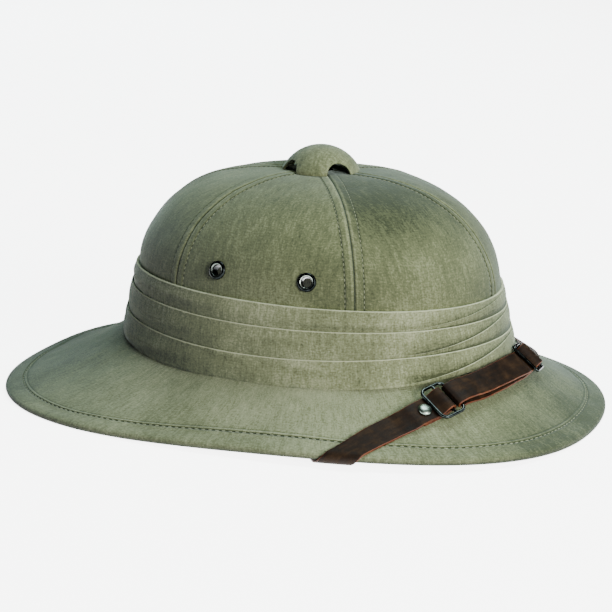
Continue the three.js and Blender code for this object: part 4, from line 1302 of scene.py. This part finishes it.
def rivet_axis():
    axes = FITTINGS[0]["axes"]
    return fitting_point(axes, -RIVET["back"], 0.0, 0.0), axes["up"]


def build_straps():
    straps = (("strap_short", short_strap_path(), -1), ("strap_long", long_strap_path(), 1))
    for name, path, side in straps:
        piece = build_ribbon(path)
        cutters = []
        if side < 0:
            cutters.append(cylinder(RIVET["shank"] + GAP, 12, frame_matrix(*rivet_axis()), 24))
        origin, inward = stud_frame(side)
        cutters.append(cylinder(STUD["shank"] + GAP, 14, frame_matrix(origin, inward), 24))
        cut_away(piece, cutters)
        dress(piece, name + "_leather", [LEATHER, LEATHER_EDGE], [name])
        mark_cut_edges(piece, STRAP_WIDTH / 2 - CUT_EDGE)


def stud_frame(side):
    at = -(HIDDEN_LENGTH - STUD["up"]) if side < 0 else ROUTE_LENGTH + HIDDEN_LENGTH - STUD["up"]
    here = STRAP_ROUTE.place(at)[0]
    origin = strap_point(here[0], here[1], 0.0)
    inner = strap_point(here[0], here[1], 4.0)
    return origin, unit(inner - origin)


# Hardware.
def wire_buckle(name, half, bar_offset, height, axes, node):
    """A wire frame: straight sides extruded, corners spun, and a bar across the middle."""
    corner = half["corner"]
    straight = {"x": half["along"] - corner, "y": half["across"] - corner}
    clear_selection()
    bpy.ops.mesh.primitive_circle_add(
        vertices=20, radius=WIRE_RADIUS * MM, rotation=(math.pi / 2, 0, 0),
        location=(half["along"] * MM, -straight["y"] * MM, 0),
    )
    piece = bpy.context.object
    bpy.ops.object.transform_apply(location=True, rotation=True, scale=True)
    bpy.ops.object.mode_set(mode="EDIT")
    bpy.ops.mesh.select_all(action="SELECT")
    for move_x, move_y, centre_x, centre_y in ((0, 2, 1, 1), (-2, 0, -1, 1), (0, -2, -1, -1), (2, 0, 1, -1)):
        bpy.ops.mesh.extrude_edges_move()
        bpy.ops.transform.translate(value=(move_x * straight["x"] * MM, move_y * straight["y"] * MM, 0))
        centre = (centre_x * straight["x"] * MM, centre_y * straight["y"] * MM, 0)
        bpy.ops.mesh.spin(steps=8, angle=-math.pi / 2, center=centre, axis=(0, 0, 1))
    bpy.ops.mesh.select_all(action="SELECT")
    bpy.ops.mesh.remove_doubles(threshold=1e-6)
    bpy.ops.mesh.normals_make_consistent(inside=False)
    bpy.ops.object.mode_set(mode="OBJECT")
    bar = turned_piece([
        (BAR_RADIUS * 0.8, -half["across"]), (BAR_RADIUS, -half["across"] + 0.8),
        (BAR_RADIUS, half["across"] - 0.8), (BAR_RADIUS * 0.8, half["across"]),
    ], 20)
    bar.data.transform(Matrix.Translation((bar_offset * MM, 0, 0)) @ Matrix.Rotation(math.pi / 2, 4, "X"))
    add_modifier(piece, "BOOLEAN", operation="UNION", object=bar, solver="EXACT")
    bpy.data.objects.remove(bar)
    origin = fitting_point(axes, 0.0, 0.0, height) * MM
    basis = Matrix([axes["along"], axes["across"], axes["up"]]).transposed().to_4x4()
    piece.data.transform(Matrix.Translation(Vector(origin)) @ basis)
    take_up(piece)
    bpy.ops.object.shade_smooth_by_angle(angle=math.radians(40))
    return dress(piece, name, GUNMETAL, [node])


def build_rivet():
    seat = UPPER_LIFT + STRAP_THICKNESS / 2 + 0.1
    head = RIVET["head"]
    dome = [(head * math.cos(a) ** 0.8, seat + 0.5 + (RIVET["dome"] - 0.5) * math.sin(a))
            for a in np.radians(np.linspace(8, 84, 9))]
    rings = [(RIVET["shank"], 0.0), (RIVET["shank"], seat), (head - 0.25, seat),
             (head, seat + 0.25), *dome]
    piece = turned_piece(rings, 40)
    piece.data.transform(frame_matrix(*rivet_axis()))
    dress(piece, "rivet_dome", RIVET_STEEL_GREEN_REFLECTION, ["strap_rivet"])


def build_studs():
    for side, node in ((-1, "stud_near"), (1, "stud_far")):
        origin, inward = stud_frame(side)
        seat = STRAP_LIFT + STRAP_THICKNESS / 2 + 1.5 * GAP
        head = STUD["head"]
        rings = [(STUD["shank"], -SHELL_WALL + GAP), (STUD["shank"], seat), (head - 0.2, seat),
                 (head, seat + 0.2), (head, seat + 0.7), (head * 0.85, seat + 1.1), (head * 0.5, seat + 1.4)]
        piece = turned_piece(rings, 32)
        piece.data.transform(frame_matrix(origin, inward))
        dress(piece, node + "_turned", GUNMETAL, [node])


def build_eyelets():
    hole, barrel, wide = EYELET["hole"], EYELET["barrel"], EYELET["radius"]
    depth = -SHELL_WALL - 0.8
    crest = lerp(hole, wide, 0.55)
    bright_ring = (3.25 * MM, 3.9 * MM)
    half = (wide - hole) / 2
    roll = [(crest + half * math.cos(a), 0.55 + 1.35 * math.sin(a))
            for a in np.radians(np.linspace(0, 180, 13))]
    roll = [(max(radius, hole), height) for radius, height in roll]
    rings = [(hole, depth), (barrel, depth), (barrel, 0.3), (wide, 0.3), *roll, (hole, depth)]
    for name, degrees in EYELET_TURNS.items():
        piece = turned_piece(rings, 48, is_loop=True)
        worn_faces = [
            bright_ring[0] < math.hypot(face.center.x, face.center.y) < bright_ring[1]
            and face.center.z > 0 for face in piece.data.polygons
        ]
        piece.data.transform(eyelet_matrix(degrees))
        dress(piece, name + "_rolled", [BLACK_PLATE, NICKEL], [name])
        for face, is_worn in zip(piece.data.polygons, worn_faces):
            face.material_index = int(is_worn)


def build_cap():
    """A domed cap drawn up from a circle, given its wall, and cut with four arched notches."""
    top = crown_point(np.array(0.0), np.array(2.0))
    skirt = 1.0
    rise = CAP["height"] - skirt
    ball = (CAP["radius"] ** 2 + rise ** 2) / (2 * rise)
    edge_turn = math.acos((ball - rise) / ball)
    rings = [(CAP["radius"], 0.0), (CAP["radius"], skirt)]
    for turn in np.linspace(edge_turn, 0.03, 14)[1:]:
        rings.append((ball * math.sin(turn), CAP["height"] - ball * (1 - math.cos(turn))))
    piece = turned_piece(rings, 72)
    bpy.ops.object.mode_set(mode="EDIT")
    bpy.ops.mesh.select_all(action="DESELECT")
    bpy.ops.object.mode_set(mode="OBJECT")
    for face in piece.data.polygons:
        face.select = len(face.vertices) > 4 and face.center.z < 1e-5
    bpy.ops.object.mode_set(mode="EDIT")
    bpy.ops.mesh.select_mode(type="FACE")
    bpy.ops.mesh.delete(type="ONLY_FACE")
    bpy.ops.object.mode_set(mode="OBJECT")
    add_modifier(piece, "SOLIDIFY", thickness=CAP["wall"] * MM, offset=-1)
    cutters = []
    for degrees in CAP_NOTCH_TURNS:
        swing = Matrix.Rotation(math.radians(degrees), 4, "Z")
        along = Matrix.Rotation(math.pi / 2, 4, "Y")
        arch = Matrix.Diagonal((1, 1, CAP["notch_height"] / CAP["notch_half"], 1))
        place = Matrix.Translation((CAP["radius"] * 1.1 * MM, 0, -0.5 * MM))
        cutters.append(cylinder(CAP["notch_half"], CAP["radius"], swing @ place @ arch @ along, 48))
    cut_away(piece, cutters)
    soften = {"width": 0.4 * MM, "segments": 2, "limit_method": "ANGLE"}
    add_modifier(piece, "BEVEL", **soften, angle_limit=math.radians(40))
    piece.data.transform(Matrix.Translation(Vector(top) * MM))
    take_up(piece)
    bpy.ops.object.shade_smooth_by_angle(angle=math.radians(40))
    dress(piece, "vent_cap_shell", CAP_CANVAS, ["vent_cap"])
    under = -SHELL_WALL - GAP
    head = CAP["height"] - CAP["wall"] - POST_HEAD_CLEARANCE
    post = turned_piece([
        (9.6, under - 1.6), (10.0, under - 1.3), (10.0, under), (POST_RADIUS, under),
        (POST_RADIUS, head - 0.4), (POST_RADIUS - 0.4, head),
    ], 40)
    post.data.transform(Matrix.Translation(Vector(top) * MM))
    dress(post, "vent_post_turned", GUNMETAL, ["vent_post"])


# Stitches: one short thread, copied along each sewn line.
def thread_shape(length, radius):
    clear_selection()
    bpy.ops.mesh.primitive_uv_sphere_add(segments=6, ring_count=5, radius=1)
    made = bpy.context.object
    bpy.ops.object.mode_set(mode="EDIT")
    bpy.ops.mesh.select_all(action="SELECT")
    bpy.ops.transform.rotate(value=math.pi / 2, orient_axis="Y", center_override=(0, 0, 0))
    bpy.ops.transform.resize(value=(length / 2, radius, radius * 0.8))
    bpy.ops.object.mode_set(mode="OBJECT")
    points = np.array([v.co for v in made.data.vertices])
    faces = [tuple(face.vertices) for face in made.data.polygons]
    bpy.data.objects.remove(made)
    return points, faces


def sew(name, line, ups, length, spacing, radius, finish):
    """Lays threads end to end along lines of points: (lines, points, 3) and their normals."""
    points, faces = thread_shape(length, radius)
    all_points, all_faces = [], []
    for path, up in zip(line, ups):
        run = lengths_along(path, 0)
        centres = np.arange(spacing / 2, run[-1], spacing)
        here = along_line(centres, run, path)
        normal = unit(along_line(centres, run, up))
        along = unit(along_line(centres + 0.4, run, path) - along_line(centres - 0.4, run, path))
        across = unit(np.cross(normal, along))
        normal = np.cross(along, across)
        for place, a, b, c in zip(here, along, across, normal):
            offset = len(all_points) * len(points)
            all_points.append(place + points[:, :1] * a + points[:, 1:2] * b + points[:, 2:] * c)
            all_faces += [tuple(corner + offset for corner in face) for face in faces]
    mesh = bpy.data.meshes.new(name)
    mesh.from_pydata((np.concatenate(all_points) * MM).tolist(), [], all_faces)
    piece = bpy.data.objects.new(name, mesh)
    bpy.context.scene.collection.objects.link(piece)
    take_up(piece)
    bpy.ops.object.shade_smooth()
    return dress(piece, name, finish)


def build_seam_stitches():
    levels = np.linspace(1.005, 1.86, 160)
    lines, ups = [], []
    for seam in PANEL_SEAMS:
        ends = [crown_point(seam + step, levels) for step in (1e-3, -1e-3)]
        speed = np.linalg.norm(ends[0] - ends[1], axis=-1) / 2e-3
        keep = speed > 16
        for side in (-1, 1):
            beside = seam + side * SEAM_STITCH / np.maximum(speed, 12)
            normal = crown_normal(beside, levels)
            bare = crown_point(beside, levels)
            out = ripple(bare, CLOTH_WAVES) - 0.1
            lines.append((bare + normal * out[:, None])[keep])
            ups.append(normal[keep])
    sew("crown_topstitching", lines, ups, 1.9, 3.0, 0.24, SEAM_THREAD)


def build_hem_stitches():
    turns = np.linspace(0, 2 * np.pi, 1200)
    reach = 1 - HEM_LINES[0] / brim_width(turns)
    bare = brim_face(turns, reach, 1, 0)
    line = brim_face(turns, reach, 1, ripple(bare, CLOTH_WAVES) - 0.12)
    ups = brim_normal(turns, reach)
    sew("brim_hem_stitching", [line], [ups], 2.5, 4.1, 0.3, HEM_THREAD)


# Studio.
HAT_MIDDLE = Vector((0, 0, 0.06))
FLOOR_GLOW = 5.5
AIR_GLOW = 0.05
# Name, place in metres, size in metres, power in watts and colour.
LAMPS = [
    ("soft_key", (1.95, -1.15, 0.72), 1.0, 112, (1, 0.98, 0.92)),
    ("top_light", (0.25, 0.45, 2.15), 1.0, 58, (0.88, 1, 0.98)),
    ("back_rim", (-1.1, 1.6, 0.7), 0.8, 10, (0.7, 1, 1)),
]


def build_studio():
    clear_selection()
    bpy.ops.mesh.primitive_plane_add(size=14, location=(0, 3, 0))
    floor = bpy.context.object
    floor.name = "studio_floor"
    paper = new_finish("pale_paper")
    shader = Shader(paper)
    shader.surface.inputs["Base Color"].default_value = (0.95, 0.95, 0.95, 1)
    shader.surface.inputs["Roughness"].default_value = 0.9
    shader.surface.inputs["Emission Color"].default_value = (1, 1, 1, 1)
    shader.surface.inputs["Emission Strength"].default_value = FLOOR_GLOW
    floor.data.materials.append(paper)
    floor.visible_diffuse = False
    world = bpy.data.worlds.new("studio_air")
    bpy.context.scene.world = world
    world.use_nodes = True
    air = world.node_tree.nodes["Background"]
    air.inputs["Color"].default_value = (0.9, 0.98, 1.0, 1)
    air.inputs["Strength"].default_value = AIR_GLOW
    for name, place, size, power, colour in LAMPS:
        light = bpy.data.lights.new(name, "AREA")
        light.size = size
        light.energy = power
        light.color = colour
        stand = bpy.data.objects.new(name, light)
        stand.location = place
        aim = HAT_MIDDLE - Vector(place)
        stand.rotation_euler = aim.to_track_quat("-Z", "Y").to_euler()
        bpy.context.scene.collection.objects.link(stand)


def build_camera():
    azimuth, elevation, roll = (CAMERA[key] for key in ("azimuth", "elevation", "roll"))
    back = Vector((
        math.sin(azimuth) * math.cos(elevation),
        -math.cos(azimuth) * math.cos(elevation),
        math.sin(elevation),
    ))
    right = Vector((math.cos(azimuth), math.sin(azimuth), 0))
    up = back.cross(right)
    rolled_right = right * math.cos(roll) + up * math.sin(roll)
    rolled_up = up * math.cos(roll) - right * math.sin(roll)
    lens = bpy.data.cameras.new("photo_camera")
    lens.sensor_width = SENSOR
    lens.lens = CAMERA["scale"] * CAMERA["distance"] / CAMERA["frame"] * SENSOR
    middle = CAMERA["frame"] / 2
    lens.shift_x = (middle - CAMERA["pivot_pixel"][0]) / CAMERA["frame"]
    lens.shift_y = (CAMERA["pivot_pixel"][1] - middle) / CAMERA["frame"]
    camera = bpy.data.objects.new("photo_camera", lens)
    basis = Matrix([rolled_right, rolled_up, back]).transposed().to_4x4()
    place = CAMERA["pivot"] * MM + back * CAMERA["distance"] * MM
    camera.matrix_world = Matrix.Translation(place) @ basis
    bpy.context.scene.collection.objects.link(camera)
    bpy.context.scene.camera = camera


build_camera()
build_studio()
build_brim()
build_crown()
build_band()
build_cap()
build_eyelets()
build_straps()
build_rivet()
build_studs()
wire_buckle("ring_wire", RING_HALF, RING_BAR_OFFSET, RING_HEIGHT, FITTINGS[0]["axes"], "strap_ring")
wire_buckle("slide_wire", SLIDE_HALF, 0.0, SLIDE_HEIGHT, FITTINGS[1]["axes"], "strap_slide")
build_seam_stitches()
build_hem_stitches()
clear_selection()
